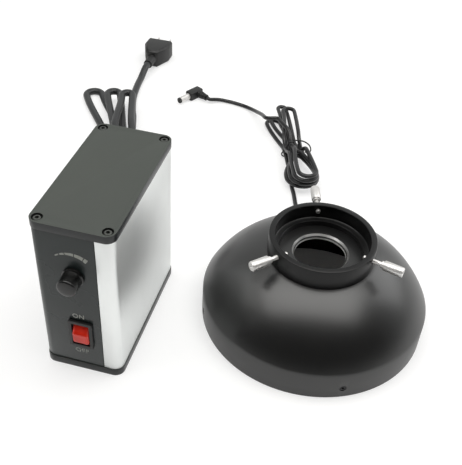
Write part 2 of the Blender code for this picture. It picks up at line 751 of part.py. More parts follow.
def dome_sleeve(parent, surface):
    """The moulded sleeve that the low-voltage lead leaves the dome by."""
    back = CARRIER_OUTER_RADIUS - CARRIER_WALL
    flange = DOME_RADIUS + FIT_GAP
    nose = flange + SLEEVE_FLANGE_THICKNESS
    end = nose + SLEEVE_NOSE_LENGTH
    profile = (
        (0, back),
        (SLEEVE_NECK_RADIUS, back),
        (SLEEVE_NECK_RADIUS, flange),
        (SLEEVE_FLANGE_RADIUS, flange),
        (SLEEVE_FLANGE_RADIUS, nose),
        (SLEEVE_NECK_RADIUS, nose),
        (SLEEVE_NOSE_RADIUS, end),
        (0, end),
    )
    bm = facing_out(turned(profile, SMALL_STEPS, closed=False), SLEEVE_AZIMUTH, SLEEVE_HEIGHT)
    object_of(bm, "dome_sleeve", surface, parent)
    return end


def box_half(name, parent, surface, side):
    """One of the two folded walls. Side is -1 for the black one on the left and 1 for the silver one."""
    radius = PLATE_CORNER_RADIUS - BODY_INSET
    inner = radius - BODY_WALL
    edge = BODY_INSET if side < 0 else BOX_WIDTH - BODY_INSET
    seam = BLACK_HALF_WIDTH + (0 if side < 0 else FIT_GAP)
    center_x = edge - side * radius
    front = (center_x, PANEL_Y + radius)
    back = (center_x, BACK_Y - radius)
    outwards = math.pi if side < 0 else 0
    to_front = side * math.pi / 2
    outline = [(seam, PANEL_Y)]
    outline += arc(front, radius, outwards - to_front, outwards, CORNER_STEPS)
    outline += arc(back, radius, outwards, outwards + to_front, CORNER_STEPS)
    outline += [(seam, BACK_Y), (seam, BACK_Y - BODY_WALL)]
    outline += arc(back, inner, outwards + to_front, outwards, CORNER_STEPS)
    outline += arc(front, inner, outwards, outwards - to_front, CORNER_STEPS)
    outline.append((seam, PANEL_Y + BODY_WALL))
    half = object_of(prism(outline, BODY_BOTTOM, BODY_TOP), name, surface, parent)
    add(half, joined([moved(rod(BOSS_RADIUS, BODY_BOTTOM, BODY_TOP), place) for place in boss_places(side)]))
    if side < 0:
        add(half, joined(board_ribs()))
    hole = PLATE_HOLE_RADIUS
    holes = []
    for place in boss_places(side):
        holes.append(moved(rod(hole, BODY_BOTTOM - CUT_OVERRUN, BODY_BOTTOM + BOSS_HOLE_DEPTH), place))
        holes.append(moved(rod(hole, BODY_TOP - BOSS_HOLE_DEPTH, BODY_TOP + CUT_OVERRUN), place))
    cut(half, joined(holes))
    if side < 0:
        cut(half, joined(panel_holes()))
    return half


def boss_places(side):
    x = PLATE_SCREW_INSET if side < 0 else BOX_WIDTH - PLATE_SCREW_INSET
    return [Matrix.Translation((x, y, 0)) for y in (PLATE_SCREW_INSET, BOX_DEPTH - PLATE_SCREW_INSET)]


def board_ribs():
    """Two ribs on the front wall and two on the back wall, with the board's edge between each pair."""
    top = BODY_BOTTOM + BOARD_HEIGHT
    left = BOARD_FROM_LEFT - FIT_GAP - RIB_THICKNESS
    right = BOARD_FROM_LEFT + BOARD_THICKNESS + FIT_GAP
    front = PANEL_Y + BODY_WALL
    back = BACK_Y - BODY_WALL
    bite = BODY_WALL / 2
    ribs = []
    for x in (left, right):
        ribs.append(block((x, front - bite, BODY_BOTTOM), (x + RIB_THICKNESS, front + RIB_DEPTH, top)))
        ribs.append(block((x, back - RIB_DEPTH, BODY_BOTTOM), (x + RIB_THICKNESS, back + bite, top)))
    return ribs


def panel_holes():
    through = BODY_WALL + CUT_OVERRUN
    pot = rod(POT_BUSHING_RADIUS + FIT_GAP, -through, CUT_OVERRUN)
    jack = rod(JACK_BARREL_RADIUS + FIT_GAP, -through, CUT_OVERRUN)
    gland = rod(GLAND_NECK_RADIUS + FIT_GAP, -through, CUT_OVERRUN)
    half_width = SWITCH_BODY_WIDTH / 2 + FIT_GAP
    half_height = SWITCH_BODY_HEIGHT / 2 + FIT_GAP
    switch = block(
        (SWITCH_X - half_width, PANEL_Y - CUT_OVERRUN, SWITCH_Z - half_height),
        (SWITCH_X + half_width, PANEL_Y + through, SWITCH_Z + half_height),
    )
    return [
        facing_front(pot, KNOB_X, PANEL_Y, KNOB_Z),
        facing_back(jack, JACK_X, BACK_Y, JACK_Z),
        facing_back(gland, GLAND_X, BACK_Y, GLAND_Z),
        switch,
    ]


def screw_places():
    left, right = PLATE_SCREW_INSET, BOX_WIDTH - PLATE_SCREW_INSET
    front, back = PLATE_SCREW_INSET, BOX_DEPTH - PLATE_SCREW_INSET
    return ((left, front), (right, front), (right, back), (left, back))


def plate_face(top):
    """The height of a plate's outer face, and the direction from it into the box."""
    return (BOX_HEIGHT, -1) if top else (0, 1)


def box_plate(name, parent, surface, top):
    face, inwards = plate_face(top)
    low, high = sorted((face, face + inwards * PLATE_THICKNESS))
    outline = rounded_rectangle(0, 0, BOX_WIDTH, BOX_DEPTH, PLATE_CORNER_RADIUS)
    plate = object_of(prism(outline, low, high), name, surface, parent)
    step = COUNTERBORE_DEPTH
    profile = (
        (0, -CUT_OVERRUN),
        (COUNTERBORE_RADIUS, -CUT_OVERRUN),
        (COUNTERBORE_RADIUS, step),
        (PLATE_HOLE_RADIUS, step),
        (PLATE_HOLE_RADIUS, PLATE_THICKNESS + CUT_OVERRUN),
        (0, PLATE_THICKNESS + CUT_OVERRUN),
    )
    holes = []
    for x, y in screw_places():
        place = Matrix.Translation((x, y, face)) @ Matrix.Diagonal((1, 1, inwards, 1))
        holes.append(moved(turned(profile, SMALL_STEPS, closed=False), place))
    cut(plate, joined(holes))
    return plate


def plate_screws(name, parent, surface, top):
    face, inwards = plate_face(top)
    seat = COUNTERBORE_DEPTH - FIT_GAP
    head = seat - PLATE_SCREW_HEAD_HEIGHT
    end = seat + PLATE_SCREW_LENGTH
    profile = (
        (0, head),
        (PLATE_SCREW_HEAD_RADIUS, head),
        (PLATE_SCREW_HEAD_RADIUS, seat),
        (PLATE_SCREW_SHANK_RADIUS, seat),
        (PLATE_SCREW_SHANK_RADIUS, end),
        (0, end),
    )
    turn = Matrix.Diagonal((1, 1, inwards, 1))
    for number, (x, y) in enumerate(screw_places(), 1):
        bm = moved(turned(profile, SMALL_STEPS, closed=False), turn)
        screw = object_of(bm, f"{name}_{number}", surface, parent, location=(x, y, face))
        socket = hexagon(PLATE_SCREW_SOCKET_RADIUS, -CUT_OVERRUN, head + PLATE_SCREW_SOCKET_DEPTH)
        cut(screw, moved(socket, turn))


def knob(parent, surface):
    """The knob, along Z from the panel, hollow over the nut and bored for the shaft."""
    ring = KNOB_ABOVE_PANEL + KNOB_RING_HEIGHT
    profile = (
        (KNOB_BASE_RADIUS, KNOB_ABOVE_PANEL),
        (KNOB_BASE_RADIUS, ring),
        (KNOB_BASE_RADIUS - KNOB_RING_STEP, ring + KNOB_RING_STEP),
        (KNOB_FACE_RADIUS, KNOB_REACH - KNOB_EDGE),
        (KNOB_FACE_RADIUS - KNOB_EDGE, KNOB_REACH),
        (0, KNOB_REACH),
    )
    shaft = POT_SHAFT_RADIUS + FIT_GAP
    cavity = (
        (0, KNOB_SHAFT_DEPTH + FIT_GAP),
        (shaft, KNOB_SHAFT_DEPTH + FIT_GAP),
        (shaft, KNOB_ABOVE_PANEL + KNOB_CAVITY_DEPTH),
        (KNOB_CAVITY_RADIUS, KNOB_ABOVE_PANEL + KNOB_CAVITY_DEPTH),
        (KNOB_CAVITY_RADIUS, KNOB_ABOVE_PANEL),
    )
    bm = turned(cavity + profile, KNOB_STEPS, closed=False)
    return object_of(bm, "knob", surface, parent, rotation=(math.pi / 2, 0, 0))


def potentiometer(parent, turning, body_surface, shaft_surface, nut_surface):
    """The potentiometer behind the panel, its nut in front, and the shaft that the knob is pushed on."""
    back = BODY_WALL + FIT_GAP
    bore = POT_SHAFT_RADIUS + FIT_GAP
    floor = -back - POT_SHAFT_INTO_BODY - FIT_GAP
    profile = (
        (0, -back - POT_BODY_DEPTH),
        (POT_BODY_RADIUS, -back - POT_BODY_DEPTH),
        (POT_BODY_RADIUS, -back),
        (POT_BUSHING_RADIUS, -back),
        (POT_BUSHING_RADIUS, POT_BUSHING_PROUD),
        (bore, POT_BUSHING_PROUD),
        (bore, floor),
        (0, floor),
    )
    place = (KNOB_X, PANEL_Y, KNOB_Z)
    face_front = (math.pi / 2, 0, 0)
    object_of(turned(profile, KNOB_STEPS, closed=False), "pot_body", body_surface, parent, place, face_front)
    shaft = rod(POT_SHAFT_RADIUS, floor + FIT_GAP, KNOB_SHAFT_DEPTH)
    object_of(shaft, "pot_shaft", shaft_surface, turning, rotation=face_front)
    sides = hexagon(POT_NUT_SIDE_RADIUS, FIT_GAP, FIT_GAP + POT_NUT_THICKNESS)
    nut = object_of(sides, "pot_nut", nut_surface, parent, place, face_front)
    cut(nut, rod(POT_BUSHING_RADIUS + FIT_GAP, -CUT_OVERRUN, POT_NUT_THICKNESS + CUT_OVERRUN))


def switch_housing(parent, surface):
    """The rocker switch's housing: its bezel in front of the panel and its body through it."""
    half_width = SWITCH_BODY_WIDTH / 2
    half_height = SWITCH_BODY_HEIGHT / 2
    face = FIT_GAP + BEZEL_THICKNESS
    middle = face - BEZEL_THICKNESS / 2
    body = block((-half_width, -half_height, -SWITCH_BODY_DEPTH), (half_width, half_height, middle))
    place = (SWITCH_X, PANEL_Y, SWITCH_Z)
    housing = object_of(body, "switch_housing", surface, parent, place, (math.pi / 2, 0, 0))
    side = BEZEL_WIDTH / 2
    top = BEZEL_HEIGHT / 2
    bezel = rounded_rectangle(-side, -top, side, top, side - half_width)
    add(housing, prism(bezel, FIT_GAP, face))
    cavity_x = SWITCH_CAVITY_WIDTH / 2
    cavity_y = SWITCH_CAVITY_HEIGHT / 2
    opening = (cavity_x, cavity_y, face + CUT_OVERRUN)
    cut(housing, block((-cavity_x, -cavity_y, -SWITCH_CAVITY_DEPTH), opening))
    pin = rod(ROCKER_PIN_RADIUS + FIT_GAP, -half_width - CUT_OVERRUN, half_width + CUT_OVERRUN)
    across = Matrix.Translation((0, 0, -ROCKER_PIVOT_BEHIND_PANEL)) @ Matrix.Rotation(math.pi / 2, 4, "Y")
    cut(housing, moved(pin, across))
    slots = []
    for y in (-TERMINAL_SPACING / 2, TERMINAL_SPACING / 2):
        x_half = TERMINAL_WIDTH / 2 + FIT_GAP
        y_half = TERMINAL_THICKNESS / 2 + FIT_GAP
        slots.append(
            block(
                (-x_half, y - y_half, -SWITCH_BODY_DEPTH - CUT_OVERRUN),
                (x_half, y + y_half, -SWITCH_BODY_DEPTH + TERMINAL_IN_BODY + FIT_GAP),
            )
        )
    cut(housing, joined(slots))


def switch_terminals(parent, surface):
    half = TERMINAL_WIDTH / 2
    thick = TERMINAL_THICKNESS / 2
    front = TERMINAL_IN_BODY - SWITCH_BODY_DEPTH
    for number, y in enumerate((-TERMINAL_SPACING / 2, TERMINAL_SPACING / 2), 1):
        blade = block((-half, y - thick, front - TERMINAL_LENGTH), (half, y + thick, front))
        place = (SWITCH_X, PANEL_Y, SWITCH_Z)
        object_of(blade, f"switch_terminal_{number}", surface, parent, place, (math.pi / 2, 0, 0))


def switch_rocker(pivot, surface):
    """The rocker, drawn with its pivot at the origin and pressed at the top."""
    ridge = ROCKER_RIDGE_ABOVE_PIVOT
    end = ridge - ROCKER_HALF_HEIGHT * math.tan(ROCKER_SLOPE)
    under = end - ROCKER_END_THICKNESS
    outline = (
        (0, ridge),
        (-ROCKER_HALF_HEIGHT, end),
        (-ROCKER_HALF_HEIGHT, under),
        (-ROCKER_KEEL_HALF_HEIGHT, -ROCKER_KEEL_DEPTH),
        (ROCKER_KEEL_HALF_HEIGHT, -ROCKER_KEEL_DEPTH),
        (ROCKER_HALF_HEIGHT, under),
        (ROCKER_HALF_HEIGHT, end),
    )
    half = ROCKER_WIDTH / 2
    reach = half + ROCKER_PIN_PROUD
    # The outline's x is height and its y points out of the panel. The prism runs along X.
    stand = Matrix(((0, 0, 1, 0), (0, -1, 0, 0), (1, 0, 0, 0), (0, 0, 0, 1)))
    pressed = Matrix.Rotation(-ROCKER_SLOPE, 4, "X")
    rocker = object_of(moved(prism(outline, -half, half), pressed @ stand), "switch_rocker", surface, pivot)
    add(rocker, moved(rod(ROCKER_PIN_RADIUS, -reach, reach), Matrix.Rotation(math.pi / 2, 4, "Y")))


def driver_board(parent, surface):
    front = PANEL_Y + BODY_WALL + FIT_GAP
    back = BACK_Y - BODY_WALL - FIT_GAP
    low = (BOARD_FROM_LEFT, front, BODY_BOTTOM)
    high = (BOARD_FROM_LEFT + BOARD_THICKNESS, back, BODY_BOTTOM + BOARD_HEIGHT)
    object_of(block(low, high), "driver_board", surface, parent)


def on_board(size, y, z):
    """The corners of a block of this size on the board's inner face, centred at a place on the board."""
    left = BOARD_FROM_LEFT + BOARD_THICKNESS + FIT_GAP
    low = (left, y - size[1] / 2, z - size[2] / 2)
    high = (left + size[0], y + size[1] / 2, z + size[2] / 2)
    return low, high


def board_pieces(parent, dark, blue, bright):
    low, high = on_board(TRANSFORMER_SIZE, TRANSFORMER_Y, TRANSFORMER_Z)
    object_of(block(low, high), "transformer", dark, parent)
    left = BOARD_FROM_LEFT + BOARD_THICKNESS + FIT_GAP
    can = rod(CAPACITOR_RADIUS, 0, CAPACITOR_LENGTH)
    object_of(can, "main_capacitor", blue, parent, (left, CAPACITOR_Y, CAPACITOR_Z), (0, math.pi / 2, 0))
    low, high = on_board(HEAT_SINK_SIZE, HEAT_SINK_Y, HEAT_SINK_Z)
    step = (HEAT_SINK_SIZE[1] - HEAT_SINK_FIN_THICKNESS) / (HEAT_SINK_FINS - 1)
    base = low[0] + HEAT_SINK_BASE
    outline = [(low[0], low[1])]
    for fin in range(HEAT_SINK_FINS):
        start = low[1] + fin * step
        end = start + HEAT_SINK_FIN_THICKNESS
        if fin:
            outline.append((base, start))
        outline += [(high[0], start), (high[0], end)]
        if fin < HEAT_SINK_FINS - 1:
            outline.append((base, end))
    outline.append((low[0], high[1]))
    object_of(prism(outline, low[2], high[2]), "heat_sink", bright, parent)


def dc_jack(parent, surface, nut_surface):
    """The socket, along Z out of the back panel, with the pin in its bore."""
    face = FIT_GAP + JACK_FLANGE_THICKNESS
    floor = face - JACK_BORE_DEPTH
    pin_top = floor + JACK_BORE_DEPTH - JACK_FLANGE_THICKNESS
    profile = (
        (0, -JACK_BARREL_LENGTH),
        (JACK_BARREL_RADIUS, -JACK_BARREL_LENGTH),
        (JACK_BARREL_RADIUS, FIT_GAP),
        (JACK_FLANGE_RADIUS, FIT_GAP),
        (JACK_FLANGE_RADIUS, face),
        (JACK_BORE_RADIUS, face),
        (JACK_BORE_RADIUS, floor),
        (JACK_PIN_RADIUS, floor),
        (JACK_PIN_RADIUS, pin_top),
        (0, pin_top),
    )
    place = (JACK_X, BACK_Y, JACK_Z)
    face_back = (-math.pi / 2, 0, 0)
    object_of(turned(profile, SMALL_STEPS, closed=False), "dc_jack", surface, parent, place, face_back)
    top = -BODY_WALL - FIT_GAP
    sides = hexagon(JACK_NUT_SIDE_RADIUS, top - JACK_NUT_THICKNESS, top)
    nut = object_of(sides, "dc_jack_nut", nut_surface, parent, place, face_back)
    hole = rod(JACK_BARREL_RADIUS + FIT_GAP, top - JACK_NUT_THICKNESS - CUT_OVERRUN, top + CUT_OVERRUN)
    cut(nut, hole)


def mains_gland(parent, surface):
    """The moulded gland that grips the mains cord where it enters the box."""
    flange = FIT_GAP + GLAND_FLANGE_THICKNESS
    end = flange + GLAND_NOSE_LENGTH
    profile = (
        (0, -BODY_WALL - GLAND_LIP_LENGTH),
        (GLAND_LIP_RADIUS, -BODY_WALL - GLAND_LIP_LENGTH),
        (GLAND_NECK_RADIUS, -BODY_WALL),
        (GLAND_NECK_RADIUS, FIT_GAP),
        (GLAND_FLANGE_RADIUS, FIT_GAP),
        (GLAND_FLANGE_RADIUS, flange),
        (GLAND_NECK_RADIUS, flange),
        (GLAND_NOSE_RADIUS, end),
        (0, end),
    )
    place = (GLAND_X, BACK_Y, GLAND_Z)
    face_back = (-math.pi / 2, 0, 0)
    object_of(turned(profile, SMALL_STEPS, closed=False), "mains_gland", surface, parent, place, face_back)
    return BOX_PLACE + Vector((GLAND_X, BACK_Y + end, GLAND_Z))


def smooth_route(points, step):
    """Points about one step apart on a smooth curve through a route's own points."""
    route = [2 * points[0] - points[1], *points, 2 * points[-1] - points[-2]]
    path = []
    for before, start, end, after in zip(route, route[1:], route[2:], route[3:]):
        count = max(1, round((end - start).length / step))
        leave = (end - before) / 2
        arrive = (after - start) / 2
        for index in range(count):
            t = index / count
            bend = (2 * t**3 - 3 * t**2 + 1) * start + (t**3 - 2 * t**2 + t) * leave
            path.append(bend + (3 * t**2 - 2 * t**3) * end + (t**3 - t**2) * arrive)
    return [*path, points[-1]]


def tube(name, points, radius, surface, resolution):
    """A round tube along points in world space, closed at both ends."""
    curve = bpy.data.curves.new(name, "CURVE")
    curve.dimensions = "3D"
    curve.bevel_depth = radius
    curve.bevel_resolution = resolution
    curve.use_fill_caps = True
    spline = curve.splines.new("POLY")
    spline.points.add(len(points) - 1)
    for point, place in zip(spline.points, points):
        point.co = (*place, 1)
    spline.use_smooth = True
    curve.materials.append(surface)
    made = bpy.data.objects.new(name, curve)
    bpy.context.scene.collection.objects.link(made)
    return made


def lead(name, start, route, end, start_way, end_way, radius, surface):
    """A free stretch of cord. It leaves its start and meets its end straight, with the fit gap at both."""
    diameter = 2 * radius
    own = [DOME_PLACE + Vector(point) for point in route]
    first = start + FIT_GAP * start_way
    last = end - FIT_GAP * end_way
    points = [first, first + diameter * start_way, *own, last - diameter * end_way, last]
    tube(name, smooth_route(points, CORD_STEP_DIAMETERS * diameter), radius, surface, CORD_SIDES_RESOLUTION)


def eased(value):
    share = min(max(value, 0), 1)
    return share * share * (3 - 2 * share)


def mixed(low, high, share):
    return low + (high - low) * share


class Hank:
    """A cord folded into a pile of long loops and drawn together at the waist.

    The cord starts on the floor, beside the near loops, and runs over the waist to each far loop and back.
    Every loop lies on the one before it, and at the waist the runs sink into two columns on each side.
    """

    def __init__(self, place, azimuth, radius, near, far, steps, spread, lift):
        self.place = Vector((*place, 0)) + DOME_PLACE
        self.along = Vector((math.cos(azimuth), math.sin(azimuth), 0))
        self.across = Vector((-math.sin(azimuth), math.cos(azimuth), 0))
        self.radius = radius
        self.near = near
        self.far = far
        self.near_first, self.near_step, self.far_step = steps
        self.lift = lift
        self.row = 2 * radius + ROW_GAP
        self.column = 2 * radius + COLUMN_GAP
        grip_radii, fan_radii, self.power = spread
        self.grip = grip_radii * radius
        self.fan = fan_radii * radius

    def slot(self, crossing):
        """How far from the middle, and how high, the cord crosses the waist."""
        column, row = WAIST_SLOTS[crossing // 2]
        return (column + HALF_SHARE) * self.column, row * self.row

    def layer(self, half):
        if half < 0:
            return 0
        if half % 2:
            return self.near_first + half // 2 * self.near_step
        return half // 2 * self.far_step

    def opened(self, run, reach):
        """How far a loop has opened at this distance from the waist, as a share."""
        return eased((max(run - self.fan, 0) / (reach - self.fan)) ** self.power)

    def point(self, turn):
        """The cord's centre after this many half turns, in world space. Whole numbers are at the waist."""
        half = math.floor(turn)
        share = turn - half
        far = half % 2 == 0
        length, radius, shift = self.far[half // 2] if far else self.near[half // 2 + 1]
        sign = 1 if far else -1
        if LEG_SHARE < share < 1 - LEG_SHARE:
            angle = (share - LEG_SHARE) / (1 - 2 * LEG_SHARE) * math.pi
            run = length - radius + radius * math.sin(angle)
            side = sign * radius * math.cos(angle)
            height = self.layer(half)
        else:
            leaving = share <= LEG_SHARE
            leg = (share if leaving else 1 - share) / LEG_SHARE
            run = (length - radius) * leg
            column, row = self.slot(half if leaving else half + 1)
            side = (sign if leaving else -sign) * mixed(column, radius, self.opened(run, length - radius))
            height = mixed(row, self.layer(half), eased(run / self.grip))
        side += shift * self.opened(run, length)
        height += self.radius + FLOOR_GAP + self.lift * (1 - eased(run / self.grip))
        flat = self.place + sign * run * self.along + side * self.across
        return Vector((flat.x, flat.y, height))

    def points(self):
        """Every point of the tube, with a straight piece one diameter long at both ends."""
        start, end = [round(turn * LOOP_POINTS / 2) for turn in self.ends()]
        inner = [self.point(step / (LOOP_POINTS / 2)) for step in range(start, end + 1)]
        first = inner[0] - 2 * self.radius * self.start_way()
        last = inner[-1] + 2 * self.radius * self.end_way()
        return [first, *inner, last]

    def ends(self):
        return -LEG_SHARE, 2 * (len(self.far) - 1) + EXIT_SHARE

    def start_way(self):
        return (self.point(self.ends()[0] + END_SHARE) - self.point(self.ends()[0])).normalized()

    def end_way(self):
        return (self.point(self.ends()[1]) - self.point(self.ends()[1] - END_SHARE)).normalized()


def least_gap(points, radius):
    """The least gap between stretches of a tube that lie more than three diameters apart along it."""
    path = np.array([tuple(point) for point in points])
    steps = np.linalg.norm(np.diff(path, axis=0), axis=1)
    along = np.concatenate([[0], np.cumsum(steps)])
    fine = np.arange(0, along[-1], radius / GAP_SAMPLES_PER_RADIUS)
    spots = np.stack([np.interp(fine, along, path[:, axis]) for axis in range(3)], axis=1)
    least = math.inf
    for index, spot in enumerate(spots):
        rest = spots[fine > fine[index] + GAP_CLEAR_RADII * radius]
        if len(rest):
            least = min(least, np.linalg.norm(rest - spot, axis=1).min())
    return least - 2 * radius


def wound(name, hank, surface):
    points = hank.points()
    tube(name, points, hank.radius, surface, COIL_SIDES_RESOLUTION)
    length = sum((after - before).length for before, after in zip(points, points[1:]))
    gap = least_gap(points, hank.radius)
    print(f"{name}: {length:.3f} m of cord, least gap to itself {1000 * gap:.2f} mm")
    return points


def tie(name, hank, radius, surface):
    """A wire round a hank's waist, one turn, whose two ends lie side by side on top."""
    clear = hank.radius + radius + TIE_CLEARANCE
    low = hank.radius + FLOOR_GAP + hank.lift
    top_row = max(row for _, row in WAIST_SLOTS[: len(hank.far)])
    high = low + top_row * hank.row
    outer_column = max(column for column, _ in WAIST_SLOTS)
    half = (outer_column + HALF_SHARE) * hank.column + clear
    path = rounded_rectangle(-half, low - clear, half, high + clear, clear)
    path = [(0, high + clear), *path[CORNER_STEPS + 1 :], *path[: CORNER_STEPS + 1], (0, high + clear)]
    points = []
    for index, (side, height) in enumerate(path):
        run = TIE_DRIFT_DIAMETERS * 2 * radius * (index / (len(path) - 1) - HALF_SHARE)
        flat = hank.place + run * hank.along + side * hank.across
        points.append(Vector((flat.x, flat.y, height)))
    tube(name, points, radius, surface, COIL_SIDES_RESOLUTION)


def plug_frame():
    """The low-voltage plug's frame: X along its barrel, Y towards its cord, Z up, at the barrel's foot."""
    height = PLUG_HEIGHT / 2
    place = DOME_PLACE + Vector((*PLUG_PLACE, height))
    made = empty("dc_plug", place)
    made.rotation_euler = (0, 0, PLUG_AZIMUTH)
    return made


def dc_plug(frame, body_surface, bright, dark):
    outline = rounded_rectangle(-PLUG_LENGTH, -PLUG_WIDTH / 2, 0, PLUG_WIDTH / 2, PLUG_CORNER_RADIUS)
    body = object_of(prism(outline, -PLUG_HEIGHT / 2, PLUG_HEIGHT / 2), "dc_plug_body", body_surface, frame)
    chamfered(body, PLUG_CHAMFER)
    foot = RELIEF_ROOT_SHARE * PLUG_WIDTH
    end = PLUG_WIDTH / 2 + PLUG_RELIEF_LENGTH
    profile = ((0, foot), (PLUG_RELIEF_RADIUS, foot), (PLUG_RELIEF_END_RADIUS, end), (0, end))
    sideways = Matrix.Translation((-PLUG_SIDE_EXIT, 0, 0)) @ Matrix.Rotation(-math.pi / 2, 4, "X")
    add(body, moved(turned(profile, SMALL_STEPS, closed=False), sideways))
    collar = FIT_GAP + BARREL_COLLAR_LENGTH
    neck = FIT_GAP + BARREL_LENGTH - BARREL_TIP_LENGTH
    bore = BARREL_BORE_RADIUS
    profile = (
        (0, FIT_GAP),
        (BARREL_COLLAR_RADIUS, FIT_GAP),
        (BARREL_COLLAR_RADIUS, collar),
        (BARREL_RADIUS, collar),
        (BARREL_RADIUS, neck),
        (bore, neck),
        (bore, collar),
        (0, collar),
    )
    barrel = turned(profile, SMALL_STEPS, closed=False)
    object_of(barrel, "dc_plug_barrel", bright, frame, rotation=(0, math.pi / 2, 0))
    tip_foot = neck + FIT_GAP
    tip_end = tip_foot + BARREL_TIP_LENGTH
    tip = turned(
        ((BARREL_RADIUS, tip_foot), (BARREL_RADIUS, tip_end), (bore, tip_end), (bore, tip_foot)), SMALL_STEPS
    )
    object_of(tip, "dc_plug_tip", dark, frame, rotation=(0, math.pi / 2, 0))
    turn = Matrix.Rotation(PLUG_AZIMUTH, 4, "Z")
    relief_end = frame.location + turn @ Vector((-PLUG_SIDE_EXIT, end, 0))
    return relief_end, turn @ Vector((0, 1, 0))


def mains_plug(body_surface, bright):
    """A two-pin plug, made along X from the foot of its cord sleeve."""
    height = MAINS_PLUG_HEIGHT / 2
    place = DOME_PLACE + Vector((*MAINS_PLUG_PLACE, height))
    frame = empty("mains_plug", place)
    frame.rotation_euler = (0, 0, MAINS_PLUG_AZIMUTH)
    neck = MAINS_PLUG_RELIEF_LENGTH
    end = neck + MAINS_PLUG_LENGTH
    shoulder = mixed(neck, end, MAINS_PLUG_SHOULDER_SHARE)
    wide = MAINS_PLUG_WIDTH / 2
    narrow = MAINS_PLUG_NECK_WIDTH / 2
    near_side = ((neck, -narrow), (shoulder, -wide), (end, -wide))
    outline = (*near_side, (end, wide), (shoulder, wide), (neck, narrow))
    body = object_of(prism(outline, -height, height), "mains_plug_body", body_surface, frame)
    chamfered(body, MAINS_PLUG_CHAMFER)
    sleeve = rod(MAINS_PLUG_RELIEF_RADIUS, 0, neck + RELIEF_ROOT_SHARE * MAINS_PLUG_LENGTH)
    add(body, moved(sleeve, Matrix.Rotation(math.pi / 2, 4, "Y")))
    slots = []
    pin_foot = end - MAINS_PIN_IN_PLUG
    half_width = MAINS_PIN_WIDTH / 2
    half_thick = MAINS_PIN_THICKNESS / 2
    gap = FIT_GAP
    for number, y in enumerate((-MAINS_PIN_SPACING / 2, MAINS_PIN_SPACING / 2), 1):
        low = (pin_foot, y - half_thick, -half_width)
        high = (pin_foot + MAINS_PIN_LENGTH, y + half_thick, half_width)
        object_of(block(low, high), f"mains_pin_{number}", bright, frame)
        slots.append(
            block(
                (pin_foot - gap, y - half_thick - gap, -half_width - gap),
                (end + CUT_OVERRUN, y + half_thick + gap, half_width + gap),
            )
        )
    cut(body, joined(slots))
    return place, Vector((math.cos(MAINS_PLUG_AZIMUTH), math.sin(MAINS_PLUG_AZIMUTH), 0))


